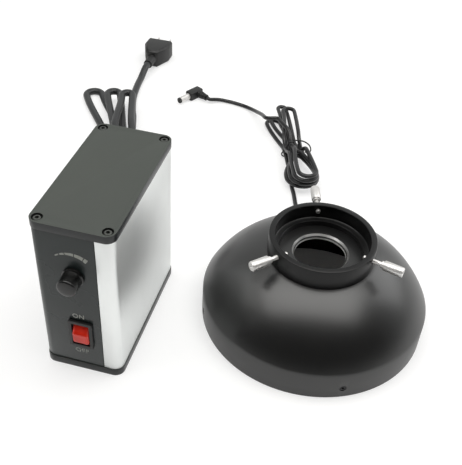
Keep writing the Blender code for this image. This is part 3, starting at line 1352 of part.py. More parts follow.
def build():
    clear_scene()
    black_metal = material("black_metal", (0.030, 0.029, 0.028), 0.45)
    collar_black = material("collar_black", (0.022, 0.022, 0.023), 0.35)
    white = material("reflector_white", (0.85, 0.85, 0.83), 0.55)
    board = material("board_white", (0.75, 0.76, 0.74), 0.6)
    screw_dark = material("screw_dark", (0.03, 0.03, 0.03), 0.4, 0.8)
    nickel = material("nickel", (0.72, 0.70, 0.66), 0.25, 1.0)
    silver = material("silver_metal", (0.62, 0.63, 0.65), 0.35, 1.0)
    panel_grey = material("panel_grey", (0.055, 0.062, 0.062), 0.5)
    plate_grey = material("plate_grey", (0.105, 0.110, 0.100), 0.55)
    knob_black = material("knob_black", (0.012, 0.012, 0.012), 0.2)
    rocker_red = material("rocker_red", (0.62, 0.02, 0.02), 0.3)
    plastic = material("black_plastic", (0.018, 0.018, 0.018), 0.45)
    rubber = material("cord_rubber", (0.035, 0.036, 0.037), 0.45)
    green = material("board_green", (0.03, 0.16, 0.06), 0.5)
    blue = material("capacitor_blue", (0.03, 0.06, 0.25), 0.4)

    dome = empty("dome", DOME_PLACE)
    dome_shell(dome, black_metal)
    reflector_liner(dome, white)
    led_carrier(dome, collar_black)
    led_board(dome, board)
    rim_screws(dome, screw_dark)
    adapter_collar(dome, collar_black)
    collar_screws(dome, screw_dark)
    thumbscrews(dome, nickel)
    sleeve_end = dome_sleeve(dome, plastic)

    box = empty("box", BOX_PLACE)
    box_half("box_black_half", box, panel_grey, -1)
    box_half("box_silver_half", box, silver, 1)
    box_plate("top_plate", box, plate_grey, True)
    box_plate("bottom_plate", box, plate_grey, False)
    plate_screws("top_screw", box, screw_dark, True)
    plate_screws("bottom_screw", box, screw_dark, False)

    knob_axis = empty("knob_axis", (KNOB_X, PANEL_Y, KNOB_Z), box)
    knob(knob_axis, knob_black)
    potentiometer(box, knob_axis, plastic, nickel, nickel)
    switch_housing(box, plastic)
    switch_terminals(box, nickel)
    rocker_pivot = empty("rocker_pivot", (SWITCH_X, PANEL_Y + ROCKER_PIVOT_BEHIND_PANEL, SWITCH_Z), box)
    switch_rocker(rocker_pivot, rocker_red)
    driver_board(box, green)
    board_pieces(box, plastic, blue, silver)
    dc_jack(box, plastic, nickel)
    gland_end = mains_gland(box, plastic)

    dc_hank = Hank(
        DC_HANK_PLACE, DC_HANK_AZIMUTH, DC_CORD_RADIUS, DC_HANK_NEAR_LOOPS, DC_HANK_FAR_LOOPS,
        DC_HANK_STEPS, DC_HANK_SPREAD, 2 * DC_TIE_RADIUS + TIE_CLEARANCE,
    )
    dc_points = wound("dc_hank", dc_hank, rubber)
    tie("dc_tie", dc_hank, DC_TIE_RADIUS, plastic)
    outwards = Vector((math.cos(SLEEVE_AZIMUTH), math.sin(SLEEVE_AZIMUTH), 0))
    sleeve_place = DOME_PLACE + sleeve_end * outwards + Vector((0, 0, SLEEVE_HEIGHT))
    lead(
        "dc_lead_dome_end", sleeve_place, DC_DOME_ROUTE, dc_points[0], outwards, dc_hank.start_way(),
        DC_CORD_RADIUS, rubber,
    )
    plug_end, plug_way = dc_plug(plug_frame(), plastic, nickel, plastic)
    lead(
        "dc_lead_plug_end", dc_points[-1], DC_PLUG_ROUTE, plug_end, dc_hank.end_way(), -plug_way,
        DC_CORD_RADIUS, rubber,
    )

    mains_hank = Hank(
        MAINS_HANK_PLACE, MAINS_HANK_AZIMUTH, MAINS_CORD_RADIUS, MAINS_HANK_NEAR_LOOPS, MAINS_HANK_FAR_LOOPS,
        MAINS_HANK_STEPS, MAINS_HANK_SPREAD, 2 * MAINS_TIE_RADIUS + TIE_CLEARANCE,
    )
    mains_points = wound("mains_hank", mains_hank, rubber)
    tie("mains_tie", mains_hank, MAINS_TIE_RADIUS, plastic)
    into_box = Vector((0, -1, 0))
    lead(
        "mains_lead_box_end", mains_points[-1], MAINS_BOX_ROUTE, gland_end, mains_hank.end_way(), into_box,
        MAINS_CORD_RADIUS, rubber,
    )
    mains_end, mains_way = mains_plug(plastic, nickel)
    arriving = mains_hank.start_way()
    lead(
        "mains_lead_plug_end", mains_end, MAINS_PLUG_ROUTE, mains_points[0], -mains_way, arriving,
        MAINS_CORD_RADIUS, rubber,
    )


build()
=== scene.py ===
"""A dome light for a stereo microscope: lamp head, low-voltage lead, control box and mains lead.

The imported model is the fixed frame. Each section makes one piece, or a group of like pieces, with its own
material.
"""

import math

import bmesh
import bpy
from mathutils import Matrix, Vector


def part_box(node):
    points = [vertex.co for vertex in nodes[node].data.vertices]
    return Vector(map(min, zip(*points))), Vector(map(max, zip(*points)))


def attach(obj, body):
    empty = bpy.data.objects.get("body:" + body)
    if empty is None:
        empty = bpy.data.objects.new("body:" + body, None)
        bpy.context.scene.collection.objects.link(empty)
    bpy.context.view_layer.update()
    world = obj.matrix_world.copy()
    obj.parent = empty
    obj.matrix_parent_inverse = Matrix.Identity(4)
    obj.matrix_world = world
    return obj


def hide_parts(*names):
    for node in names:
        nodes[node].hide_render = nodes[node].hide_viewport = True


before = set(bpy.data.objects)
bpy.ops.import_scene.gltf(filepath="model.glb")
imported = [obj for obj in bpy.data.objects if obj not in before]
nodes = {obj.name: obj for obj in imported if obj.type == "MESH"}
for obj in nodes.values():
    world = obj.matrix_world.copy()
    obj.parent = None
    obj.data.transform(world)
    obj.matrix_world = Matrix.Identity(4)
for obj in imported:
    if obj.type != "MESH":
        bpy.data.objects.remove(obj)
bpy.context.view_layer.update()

# Camera
# A hand-held view from in front of the set and a little to its right, looking down on it.
CAMERA_PLACE = (0.056905, -0.351855, 0.36957)
CAMERA_YAW = math.radians(-11.945)
CAMERA_DIP = math.radians(40.121)
CAMERA_ROLL = math.radians(4.002)
CAMERA_LENS = 58.008
SENSOR_WIDTH = 36
level = Vector((math.cos(CAMERA_YAW), -math.sin(CAMERA_YAW), 0))
forward = Vector((math.sin(CAMERA_YAW), math.cos(CAMERA_YAW), 0))
ahead = math.cos(CAMERA_DIP) * forward - math.sin(CAMERA_DIP) * Vector((0, 0, 1))
upright = level.cross(ahead)
rightwards = math.cos(CAMERA_ROLL) * level + math.sin(CAMERA_ROLL) * upright
upwards = math.cos(CAMERA_ROLL) * upright - math.sin(CAMERA_ROLL) * level
lens = bpy.data.cameras.new("camera")
lens.sensor_width = SENSOR_WIDTH
lens.lens = CAMERA_LENS
lens.clip_start = 0.01
camera = bpy.data.objects.new("camera", lens)
facing = Matrix((rightwards, upwards, -ahead)).transposed()
camera.matrix_world = Matrix.Translation(CAMERA_PLACE) @ facing.to_4x4()
bpy.context.scene.collection.objects.link(camera)
bpy.context.scene.camera = camera
bpy.context.scene.view_settings.view_transform = "Standard"

# Cords and their hanks
# Two round cords with rubber jackets, each folded to and fro and held at the waist by a wire tie.
# They lie by their own weight: the thin one behind the dome, the thick one behind the control box.
DOME_AXIS = Vector((0.038835, 0.014835, 0))
BOX_CORNER = Vector((-0.113335, -0.077735, 0))
THIN_CORD_RADIUS = 0.0018
THICK_CORD_RADIUS = 0.00325
FLOOR_GAP = 0.00005
ROW_GAP = 0.0009
COLUMN_GAP = 0.0008
TIE_CLEARANCE = 0.0009
THIN_TIE_RADIUS = 0.0006
THICK_TIE_RADIUS = 0.0008
LEG_SHARE = 0.25
WAY_OUT_SHARE = 1 / 6
HALF_TURN_POINTS = 36
THIN_PATH_STEP = 0.0025
THICK_PATH_STEP = 0.004
WAIST_SLOTS = ((1, 0), (0, 0), (0, 1), (1, 1), (0, 2))


def eased(value):
    """A value held between 0 and 1, that leaves the one and reaches the other gently."""
    share = min(max(value, 0), 1)
    return share * share * (3 - 2 * share)


def mixed(low, high, share):
    """The value that lies this share of the way from one to the other."""
    return low + (high - low) * share


class Hank:
    """A cord folded into a pile of long loops, each on the one before, and drawn together at the waist."""

    def __init__(self, place, azimuth, radius, near, far, steps, spread, tie_radius):
        self.place = Vector((*place, 0)) + DOME_AXIS
        self.along = Vector((math.cos(azimuth), math.sin(azimuth), 0))
        self.across = Vector((-math.sin(azimuth), math.cos(azimuth), 0))
        self.radius = radius
        self.near = near
        self.far = far
        self.near_first, self.near_step, self.far_step = steps
        self.lift = 2 * tie_radius + TIE_CLEARANCE
        self.row = 2 * radius + ROW_GAP
        self.column = 2 * radius + COLUMN_GAP
        self.grip = spread[0] * radius
        self.fan = spread[1] * radius
        self.power = spread[2]

    def layer(self, half):
        """How high the loop of this half turn lies in the pile."""
        if half < 0:
            return 0
        if half % 2:
            return self.near_first + half // 2 * self.near_step
        return half // 2 * self.far_step

    def opened(self, run, reach):
        """How far a loop has opened at this run from the waist, as a share."""
        return eased((max(run - self.fan, 0) / (reach - self.fan)) ** self.power)

    def point(self, turn):
        """The cord's centre after this many half turns. Whole numbers are at the waist."""
        half = math.floor(turn)
        share = turn - half
        far = half % 2 == 0
        length, radius, shift = self.far[half // 2] if far else self.near[half // 2 + 1]
        sign = 1 if far else -1
        if LEG_SHARE < share < 1 - LEG_SHARE:
            angle = (share - LEG_SHARE) / (1 - 2 * LEG_SHARE) * math.pi
            run = length - radius + radius * math.sin(angle)
            side = sign * radius * math.cos(angle)
            height = self.layer(half)
        else:
            leaving = share <= LEG_SHARE
            leg = (share if leaving else 1 - share) / LEG_SHARE
            run = (length - radius) * leg
            column, row = WAIST_SLOTS[(half if leaving else half + 1) // 2]
            opened = self.opened(run, length - radius)
            side = (sign if leaving else -sign) * mixed((column + 0.5) * self.column, radius, opened)
            height = mixed(row * self.row, self.layer(half), eased(run / self.grip))
        side += shift * self.opened(run, length)
        height += self.radius + FLOOR_GAP + self.lift * (1 - eased(run / self.grip))
        flat = self.place + sign * run * self.along + side * self.across
        return Vector((flat.x, flat.y, height))

    def points(self, per_half):
        """Points along the cord's centre, from its way in to its way out."""
        last = 2 * (len(self.far) - 1) + WAY_OUT_SHARE
        first_step = round(-LEG_SHARE * per_half)
        return [self.point(step / per_half) for step in range(first_step, round(last * per_half) + 1)]


def eased_route(points, step):
    """Points about one step apart on a smooth curve through a route's own points."""
    route = [2 * points[0] - points[1], *points, 2 * points[-1] - points[-2]]
    path = []
    for before, start, end, after in zip(route, route[1:], route[2:], route[3:]):
        count = max(1, round((end - start).length / step))
        leave = (end - before) / 2
        arrive = (after - start) / 2
        for index in range(count):
            t = index / count
            bend = (2 * t**3 - 3 * t**2 + 1) * start + (t**3 - 2 * t**2 + t) * leave
            path.append(bend + (3 * t**2 - 2 * t**3) * end + (t**3 - t**2) * arrive)
    return [*path, points[-1]]


def cord_curve(name, points, radius, sides):
    """A round tube along points, as a curve with closed ends."""
    curve = bpy.data.curves.new(name, "CURVE")
    curve.dimensions = "3D"
    curve.bevel_depth = radius
    curve.bevel_resolution = sides
    curve.use_fill_caps = True
    spline = curve.splines.new("POLY")
    spline.points.add(len(points) - 1)
    for point, place in zip(spline.points, points):
        point.co = (*place, 1)
    spline.use_smooth = True
    made = bpy.data.objects.new(name, curve)
    bpy.context.scene.collection.objects.link(made)
    return made


THIN_HANK = Hank(
    (-0.0474, 0.1787),
    math.radians(111.5),
    THIN_CORD_RADIUS,
    (
        (0.0450, 0.0065, 0.0),
        (0.0520, 0.0128, 0.0),
        (0.0545, 0.0112, -0.0004),
        (0.0560, 0.0092, -0.0008),
        (0.0560, 0.0074, -0.0014),
    ),
    (
        (0.0570, 0.0062, 0.0085),
        (0.0535, 0.0040, 0.0074),
        (0.0662, 0.0036, -0.0008),
        (0.0560, 0.0052, -0.0046),
        (0.0530, 0.0050, 0.0072),
    ),
    (0.0044, 0.0044, 0.0044),
    (10, 6, 0.7),
    THIN_TIE_RADIUS,
)
THICK_HANK = Hank(
    (-0.1872, 0.1300),
    math.radians(-64.7),
    THICK_CORD_RADIUS,
    (
        (0.0850, 0.0155, 0.0),
        (0.1085, 0.0074, -0.0178),
        (0.0935, 0.0058, 0.0),
        (0.0765, 0.0048, 0.0115),
    ),
    (
        (0.0540, 0.0160, 0.0),
        (0.0520, 0.0150, 0.0),
        (0.0500, 0.0140, 0.0),
        (0.0560, 0.0140, 0.0140),
    ),
    (0, 0.0075, 0.0077),
    (8, 5, 1),
    THICK_TIE_RADIUS,
)
SLEEVE_AZIMUTH = math.radians(106)
SLEEVE_END = 0.0821
SLEEVE_HEIGHT = 0.008
PLUG_FOOT = DOME_AXIS + Vector((-0.1614, 0.2407, 0.0041))
PLUG_AZIMUTH = math.radians(-118.5)
PLUG_SIDE_EXIT = 0.0112
PLUG_RELIEF_END = 0.0138
PLUG_TURN = Matrix.Rotation(PLUG_AZIMUTH, 3, "Z")
MAINS_PLUG_FOOT = DOME_AXIS + Vector((-0.2158, 0.2790, 0.009))
GLAND_END = BOX_CORNER + Vector((0.025, 0.1269, 0.020))
MEETING_GAP = 0.0003


def placed(route):
    """A route's points, moved from the dome's axis to where they lie."""
    return [DOME_AXIS + Vector(point) for point in route]


sleeve_way = Vector((math.cos(SLEEVE_AZIMUTH), math.sin(SLEEVE_AZIMUTH), 0))
sleeve_mouth = DOME_AXIS + SLEEVE_END * sleeve_way + Vector((0, 0, SLEEVE_HEIGHT))
relief_way = PLUG_TURN @ Vector((0, 1, 0))
relief_mouth = PLUG_FOOT + PLUG_TURN @ Vector((-PLUG_SIDE_EXIT, PLUG_RELIEF_END, 0))
thin_diameter = 2 * THIN_CORD_RADIUS
thin_route = [
    sleeve_mouth + MEETING_GAP * sleeve_way,
    sleeve_mouth + (MEETING_GAP + thin_diameter) * sleeve_way,
    *placed(
        (
            (-0.0276, 0.0960, 0.0034),
            (-0.0311, 0.1083, 0.0019),
            (-0.0356, 0.1231, 0.0019),
            (-0.0396, 0.1345, 0.0019),
        )
    ),
    *THIN_HANK.points(HALF_TURN_POINTS),
    *placed(
        (
            (-0.0777, 0.2061, 0.0172),
            (-0.0843, 0.2181, 0.0125),
            (-0.0914, 0.2302, 0.0070),
            (-0.0987, 0.2393, 0.0034),
            (-0.1061, 0.2444, 0.0020),
            (-0.1135, 0.2465, 0.0019),
            (-0.1219, 0.2479, 0.0019),
            (-0.1322, 0.2471, 0.0026),
        )
    ),
    relief_mouth + (MEETING_GAP + thin_diameter) * relief_way,
    relief_mouth + MEETING_GAP * relief_way,
]
thin_path = eased_route(thin_route, THIN_PATH_STEP)
thin_cord = cord_curve("low_voltage_cord", thin_path, THIN_CORD_RADIUS, 4)

into_box = Vector((0, -1, 0))
thick_diameter = 2 * THICK_CORD_RADIUS
thick_route = [
    GLAND_END - MEETING_GAP * into_box,
    GLAND_END - (MEETING_GAP + thick_diameter) * into_box,
    *placed(((-0.1310, 0.0500, 0.0210), (-0.1420, 0.0640, 0.0230), (-0.1560, 0.0800, 0.0240))),
    *reversed(THICK_HANK.points(HALF_TURN_POINTS)),
    *placed(((-0.2104, 0.2226, 0.0034), (-0.2145, 0.2447, 0.0034), (-0.2162, 0.2600, 0.0036))),
    MAINS_PLUG_FOOT + Vector((0, -MEETING_GAP - thick_diameter, 0)),
    MAINS_PLUG_FOOT + Vector((0, -MEETING_GAP, 0)),
]
thick_path = eased_route(thick_route, THICK_PATH_STEP)
thick_cord = cord_curve("mains_cord", thick_path, THICK_CORD_RADIUS, 5)


def worked_out(tree, operation, *terms):
    """The result of an operation on numbers and on other nodes' results."""
    node = tree.nodes.new("ShaderNodeMath")
    node.operation = operation
    for socket, term in zip(node.inputs, terms):
        if isinstance(term, bpy.types.NodeSocket):
            tree.links.new(term, socket)
        else:
            socket.default_value = term
    return node.outputs["Value"]


def ranged(tree, value, before, after, curve="LINEAR"):
    """A value carried from one range to another."""
    node = tree.nodes.new("ShaderNodeMapRange")
    node.interpolation_type = curve
    node.inputs["From Min"].default_value, node.inputs["From Max"].default_value = before
    node.inputs["To Min"].default_value, node.inputs["To Max"].default_value = after
    tree.links.new(value, node.inputs["Value"])
    return node.outputs["Result"]


def grain_group():
    """Fine grain and slow cloudy change over a surface, each between 0 and 1."""
    group = bpy.data.node_groups.new("surface_grain", "ShaderNodeTree")
    group.interface.new_socket("Vector", in_out="INPUT", socket_type="NodeSocketVector")
    for name in ("Grain Scale", "Cloud Scale"):
        group.interface.new_socket(name, in_out="INPUT", socket_type="NodeSocketFloat")
    for name in ("Grain", "Cloud"):
        group.interface.new_socket(name, in_out="OUTPUT", socket_type="NodeSocketFloat")
    ends = group.nodes.new("NodeGroupInput"), group.nodes.new("NodeGroupOutput")
    for name, scale, detail in (("Grain", "Grain Scale", 3), ("Cloud", "Cloud Scale", 4)):
        noise = group.nodes.new("ShaderNodeTexNoise")
        noise.inputs["Detail"].default_value = detail
        noise.inputs["Roughness"].default_value = 0.6
        group.links.new(ends[0].outputs["Vector"], noise.inputs["Vector"])
        group.links.new(ends[0].outputs[scale], noise.inputs["Scale"])
        group.links.new(noise.outputs["Fac"], ends[1].inputs[name])
    return group


GRAIN = grain_group()
GRAIN_DEPTH = 0.0001
CLOUD_EDGES = (0.35, 0.65)


def finish_of(name, dark, light, rough, grain, bump, metallic=0.0, **sockets):
    """A surface between two colours or greys and two roughnesses, mixed by clouds, with a grain in relief."""
    made = bpy.data.materials.new(name)
    made.use_nodes = True
    tree = made.node_tree
    shader = tree.nodes["Principled BSDF"]
    place = tree.nodes.new("ShaderNodeTexCoord")
    texture = tree.nodes.new("ShaderNodeGroup")
    texture.node_tree = GRAIN
    texture.inputs["Grain Scale"].default_value = grain[0]
    texture.inputs["Cloud Scale"].default_value = grain[1]
    tree.links.new(place.outputs["Object"], texture.inputs["Vector"])
    ramp = tree.nodes.new("ShaderNodeValToRGB")
    for stop, colour, position in zip(ramp.color_ramp.elements, (dark, light), CLOUD_EDGES):
        stop.color = (*colour, 1) if isinstance(colour, tuple) else (colour, colour, colour, 1)
        stop.position = position
    tree.links.new(texture.outputs["Cloud"], ramp.inputs["Fac"])
    tree.links.new(ramp.outputs["Color"], shader.inputs["Base Color"])
    spread = ranged(tree, texture.outputs["Cloud"], (0, 1), rough)
    tree.links.new(spread, shader.inputs["Roughness"])
    relief = tree.nodes.new("ShaderNodeBump")
    relief.inputs["Strength"].default_value = bump
    relief.inputs["Distance"].default_value = GRAIN_DEPTH
    tree.links.new(texture.outputs["Grain"], relief.inputs["Height"])
    tree.links.new(relief.outputs["Normal"], shader.inputs["Normal"])
    shader.inputs["Metallic"].default_value = metallic
    for socket, value in sockets.items():
        shader.inputs[socket.replace("_", " ")].default_value = value
    return made


def made_of(piece, material):
    """Gives a piece one material."""
    piece.data.materials.clear()
    piece.data.materials.append(material)
    return piece


THIN_JACKET = finish_of(
    "thin_cord_jacket", (0.012, 0.012, 0.013), (0.022, 0.022, 0.023), (0.24, 0.36), (900, 60), 0.12
)
THICK_JACKET = finish_of(
    "thick_cord_jacket", (0.020, 0.021, 0.022), (0.034, 0.035, 0.036), (0.32, 0.46), (700, 40), 0.18
)
made_of(thin_cord, THIN_JACKET)
made_of(thick_cord, THICK_JACKET)
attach(thin_cord, "base")
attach(thick_cord, "base")
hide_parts("dc_lead_dome_end", "dc_hank", "dc_lead_plug_end")
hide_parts("mains_lead_box_end", "mains_hank", "mains_lead_plug_end")

# Wire ties
# A short length of plastic-covered wire round the waist of each hank. The thin hank's tie has its ends
# twisted together and left standing out as a small loose loop.
TIE_BEND_STEPS = 6
TIE_PATH_STEP = 0.001
LOOSE_LOOP = (
    (-0.0006, -0.0045, 0.0002),
    (-0.0012, -0.0095, -0.0010),
    (-0.0032, -0.0135, -0.0035),
    (-0.0068, -0.0142, -0.0062),
    (-0.0092, -0.0112, -0.0072),
    (-0.0085, -0.0085, -0.0062),
)


def tie_turn(hank, tie_radius, drift, rows):
    """Points of one turn of wire round a hank's waist, from the middle of its top and back."""
    clear = hank.radius + tie_radius + TIE_CLEARANCE
    low = hank.radius + FLOOR_GAP + hank.lift
    high = low + rows * hank.row
    half = 1.5 * hank.column
    upper = half if rows < 2 else 0.5 * hank.column
    outline = []
    for side, height, start in ((upper, high, 90), (half, low, 0), (-half, low, -90), (-upper, high, -180)):
        for step in range(TIE_BEND_STEPS + 1):
            angle = math.radians(start - 90 * step / TIE_BEND_STEPS)
            outline.append((side + clear * math.cos(angle), height + clear * math.sin(angle)))
    outline = [(0, high + clear), *outline, (0, high + clear)]
    points = []
    for index, (side, height) in enumerate(outline):
        run = drift * (index / (len(outline) - 1) - 0.5)
        flat = hank.place + run * hank.along + side * hank.across
        points.append(Vector((flat.x, flat.y, height)))
    return points


TIE_COAT = finish_of("tie_coat", 0.010, 0.020, (0.3, 0.42), (1200, 80), 0.1)
thin_turn = tie_turn(THIN_HANK, THIN_TIE_RADIUS, drift=0.0022, rows=2)
thick_turn = tie_turn(THICK_HANK, THICK_TIE_RADIUS, drift=0.0029, rows=1)
top = thin_turn[-1]
bow = []
for run, side, height in LOOSE_LOOP:
    bow.append(top + run * THIN_HANK.along + side * THIN_HANK.across + Vector((0, 0, height)))
thin_tie = cord_curve("low_voltage_tie", eased_route([*thin_turn, *bow], TIE_PATH_STEP), THIN_TIE_RADIUS, 3)
thick_tie = cord_curve("mains_tie_wire", thick_turn, THICK_TIE_RADIUS, 3)
for wire, node in ((thin_tie, "dc_tie"), (thick_tie, "mains_tie")):
    made_of(wire, TIE_COAT)
    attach(wire, "base")
    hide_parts(node)

# Dome shell
# A spun metal dome, painted satin black outside. It has a short upright skirt at the foot, four countersunk
# holes for the rim screws, and a hole in its flat top whose edge is turned bright after painting.
DOME_RADIUS = 0.0745
DOME_HEIGHT = 0.053
DOME_WALL = 0.002
SKIRT_HEIGHT = 0.0185
SKIRT_SLOPE = math.radians(26.6)
COLLAR_RADIUS = 0.0344
HOLE_RADIUS = 0.0167
HOLE_BEVEL = 0.0017
BARE_WIDTH = 0.0011
FOOT_BREAK = 0.0004
OUTER_STEPS = 24
INNER_STEPS = 16
RIM_SCREW_TURNS = [math.radians(-65.5 + 90 * number) for number in range(4)]
RIM_SCREW_HEIGHT = 0.008
RIM_SCREW_HOLE = ((0, 0.07), (0.0013, 0.07), (0.0013, 0.0731), (0.0023, 0.0742), (0.0023, 0.076), (0, 0.076))
SLEEVE_HOLE = ((0, 0.070), (0.0036, 0.070), (0.0036, 0.076), (0, 0.076))
ROUND_STEPS = 128
SMOOTH_BELOW = 32


def dome_arc(inset, steps):
    """The curved side of the dome, this far in from its outer face, from the skirt up to the flat top."""
    foot = Vector((DOME_RADIUS, SKIRT_HEIGHT))
    head = Vector((COLLAR_RADIUS, DOME_HEIGHT))
    inwards = Vector((-math.cos(SKIRT_SLOPE), -math.sin(SKIRT_SLOPE)))
    across = head - foot
    radius = across.length_squared / (2 * inwards.dot(across))
    centre = foot + radius * inwards
    inner = radius - inset
    low = math.acos((DOME_RADIUS - inset - centre.x) / inner)
    high = math.asin((DOME_HEIGHT - inset - centre.y) / inner)
    turns = [low + (high - low) * step / steps for step in range(steps + 1)]
    return [(centre.x + inner * math.cos(turn), centre.y + inner * math.sin(turn)) for turn in turns]


def spun(outline, steps=ROUND_STEPS, closed=True):
    """An outline of radius and height, spun once round Z."""
    bm = bmesh.new()
    verts = [bm.verts.new((radius, 0, height)) for radius, height in outline]
    edges = [bm.edges.new(pair) for pair in zip(verts, verts[1:])]
    if closed:
        edges.append(bm.edges.new((verts[-1], verts[0])))
    bmesh.ops.spin(
        bm, geom=verts + edges, cent=(0, 0, 0), axis=(0, 0, 1), angle=math.tau, steps=steps, use_merge=True
    )
    bmesh.ops.remove_doubles(bm, verts=bm.verts, dist=1e-6)
    bmesh.ops.recalc_face_normals(bm, faces=bm.faces)
    return bm


def piece_of(bm, name, smooth_below=SMOOTH_BELOW):
    """A mesh as an object in the scene, shaded smooth but for edges sharper than this many degrees."""
    mesh = bpy.data.meshes.new(name)
    bm.to_mesh(mesh)
    bm.free()
    mesh.shade_smooth()
    mesh.set_sharp_from_angle(angle=math.radians(smooth_below))
    made = bpy.data.objects.new(name, mesh)
    bpy.context.scene.collection.objects.link(made)
    return made


def stands_at(bm, place, turn=None):
    """Puts a mesh where it belongs, turned first if it has a turn."""
    matrix = Matrix.Translation(place)
    if turn is not None:
        matrix = matrix @ turn
    bmesh.ops.transform(bm, matrix=matrix, verts=bm.verts)
    return bm


def settle(piece):
    """Applies a piece's modifiers to its mesh."""
    graph = bpy.context.evaluated_depsgraph_get()
    mesh = bpy.data.meshes.new_from_object(piece.evaluated_get(graph))
    piece.modifiers.clear()
    piece.data = mesh
    mesh.shade_smooth()
    mesh.set_sharp_from_angle(angle=math.radians(SMOOTH_BELOW))
    return piece


def rounded(piece, width, segments, limit):
    """Rounds a piece's edges that are sharper than this many degrees."""
    change = piece.modifiers.new("edges", "BEVEL")
    change.width = width
    change.segments = segments
    change.limit_method = "ANGLE"
    change.angle_limit = math.radians(limit)
    return settle(piece)


def softened(node, width, segments):
    """A copy of a CAD node with its edges rounded."""
    bm = bmesh.new()
    bm.from_mesh(nodes[node].data)
    bmesh.ops.remove_doubles(bm, verts=bm.verts, dist=1e-6)
    bmesh.ops.dissolve_limit(bm, angle_limit=math.radians(1), verts=bm.verts, edges=bm.edges)
    return rounded(piece_of(bm, f"{node}_finished"), width, segments, limit=40)


def bored(piece, cutters):
    """Cuts holes in a piece. The cutters are meshes, which are used up."""
    for number, bm in enumerate(cutters):
        tool = piece_of(bm, f"{piece.name}_cut_{number}")
        change = piece.modifiers.new(tool.name, "BOOLEAN")
        change.operation = "DIFFERENCE"
        change.solver = "EXACT"
        change.object = tool
        settle(piece)
        bpy.data.objects.remove(tool)
    return piece


def outwards_turn(azimuth):
    """Lays a mesh made along Z so that it points outwards at this azimuth."""
    return Matrix.Rotation(azimuth, 4, "Z") @ Matrix.Rotation(math.pi / 2, 4, "Y")


def outward_cuts(outline, azimuths, height, steps):
    """Cutters for holes that point out of the dome's axis, spun from an outline."""
    place = DOME_AXIS + Vector((0, 0, height))
    return [stands_at(spun(outline, steps, False), place, outwards_turn(azimuth)) for azimuth in azimuths]


outline = [
    (DOME_RADIUS, FOOT_BREAK),
    *dome_arc(0, OUTER_STEPS),
    (HOLE_RADIUS + HOLE_BEVEL, DOME_HEIGHT),
    (HOLE_RADIUS + HOLE_BEVEL - BARE_WIDTH, DOME_HEIGHT - BARE_WIDTH),
    (HOLE_RADIUS, DOME_HEIGHT - HOLE_BEVEL),
    (HOLE_RADIUS, DOME_HEIGHT - DOME_WALL),
    *reversed(dome_arc(DOME_WALL, INNER_STEPS)),
    (DOME_RADIUS - DOME_WALL, 0),
    (DOME_RADIUS - FOOT_BREAK, 0),
]
dome = piece_of(stands_at(spun(outline), DOME_AXIS), "dome")
cuts = outward_cuts(RIM_SCREW_HOLE, RIM_SCREW_TURNS, RIM_SCREW_HEIGHT, 24)
cuts += outward_cuts(SLEEVE_HOLE, [SLEEVE_AZIMUTH], SLEEVE_HEIGHT, 32)
bored(dome, cuts)
DOME_PAINT = finish_of(
    "dome_satin_black",
    (0.0042, 0.0043, 0.0044),
    (0.0052, 0.0052, 0.0051),
    (0.31, 0.36),
    (2600, 18),
    0.08,
    Specular_IOR_Level=0.88,
)
BARE_RIM = finish_of(
    "bare_turned_edge", (0.56, 0.56, 0.55), (0.72, 0.72, 0.71), (0.26, 0.4), (900, 60), 0.1, 1.0
)
made_of(dome, DOME_PAINT)
dome.data.materials.append(BARE_RIM)
for face in dome.data.polygons:
    on_rim = (face.center - DOME_AXIS).xy.length < HOLE_RADIUS + HOLE_BEVEL
    if on_rim and face.center.z > DOME_HEIGHT - BARE_WIDTH and 0.5 < face.normal.z < 0.9:
        face.material_index = 1
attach(dome, "base")
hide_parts("dome_shell")

# Lining, ring channel and lamp ring
# Inside the dome a white diffusing skin follows the shell, and a black channel at its foot carries a white
# ring board with a circle of pale lamps that shine up at the lining.
LINING = finish_of("white_lining", (0.76, 0.76, 0.74), (0.84, 0.84, 0.82), (0.55, 0.7), (800, 40), 0.15)
CHANNEL = finish_of("black_channel", 0.010, 0.017, (0.35, 0.45), (1800, 40), 0.1)
LAMP_BOARD = finish_of(
    "lamp_board_white", (0.68, 0.69, 0.66), (0.76, 0.76, 0.72), (0.4, 0.55), (1200, 90), 0.12
)
made_of(nodes["reflector_liner"], LINING)
made_of(nodes["led_carrier"], CHANNEL)
made_of(nodes["led_board"], LAMP_BOARD)

# Adapter collar
# A ring turned from bar and finished black, which takes a microscope's adapter on a ledge inside it. Its
# top edges are broken, and three holes let the thumbscrews through.
COLLAR_BOTTOM = 0.05303
COLLAR_TOP = 0.067
COLLAR_LEDGE = 0.057
COLLAR_BORE = 0.0305
COLLAR_EYE = 0.0268
COLLAR_OUTLINE = (
    (COLLAR_RADIUS - 0.0004, COLLAR_BOTTOM),
    (COLLAR_RADIUS, COLLAR_BOTTOM + 0.0004),
    (COLLAR_RADIUS, COLLAR_TOP - 0.0005),
    (COLLAR_RADIUS - 0.0002, COLLAR_TOP - 0.00015),
    (COLLAR_RADIUS - 0.0005, COLLAR_TOP),
    (COLLAR_BORE + 0.0003, COLLAR_TOP),
    (COLLAR_BORE, COLLAR_TOP - 0.0003),
    (COLLAR_BORE, COLLAR_LEDGE + 0.0004),
    (COLLAR_BORE - 0.0003, COLLAR_LEDGE + 0.0001),
    (COLLAR_BORE - 0.0005, COLLAR_LEDGE),
    (COLLAR_EYE + 0.0003, COLLAR_LEDGE),
    (COLLAR_EYE, COLLAR_LEDGE - 0.0003),
    (COLLAR_EYE, COLLAR_BOTTOM),
)
THUMB_AZIMUTHS = [math.radians(-135.3 + 120 * number) for number in range(3)]
THUMB_HEIGHT = 0.0624
THUMB_HOLE = ((0, 0.029), (0.0018, 0.029), (0.0018, 0.036), (0, 0.036))
collar = piece_of(stands_at(spun(COLLAR_OUTLINE), DOME_AXIS), "collar")
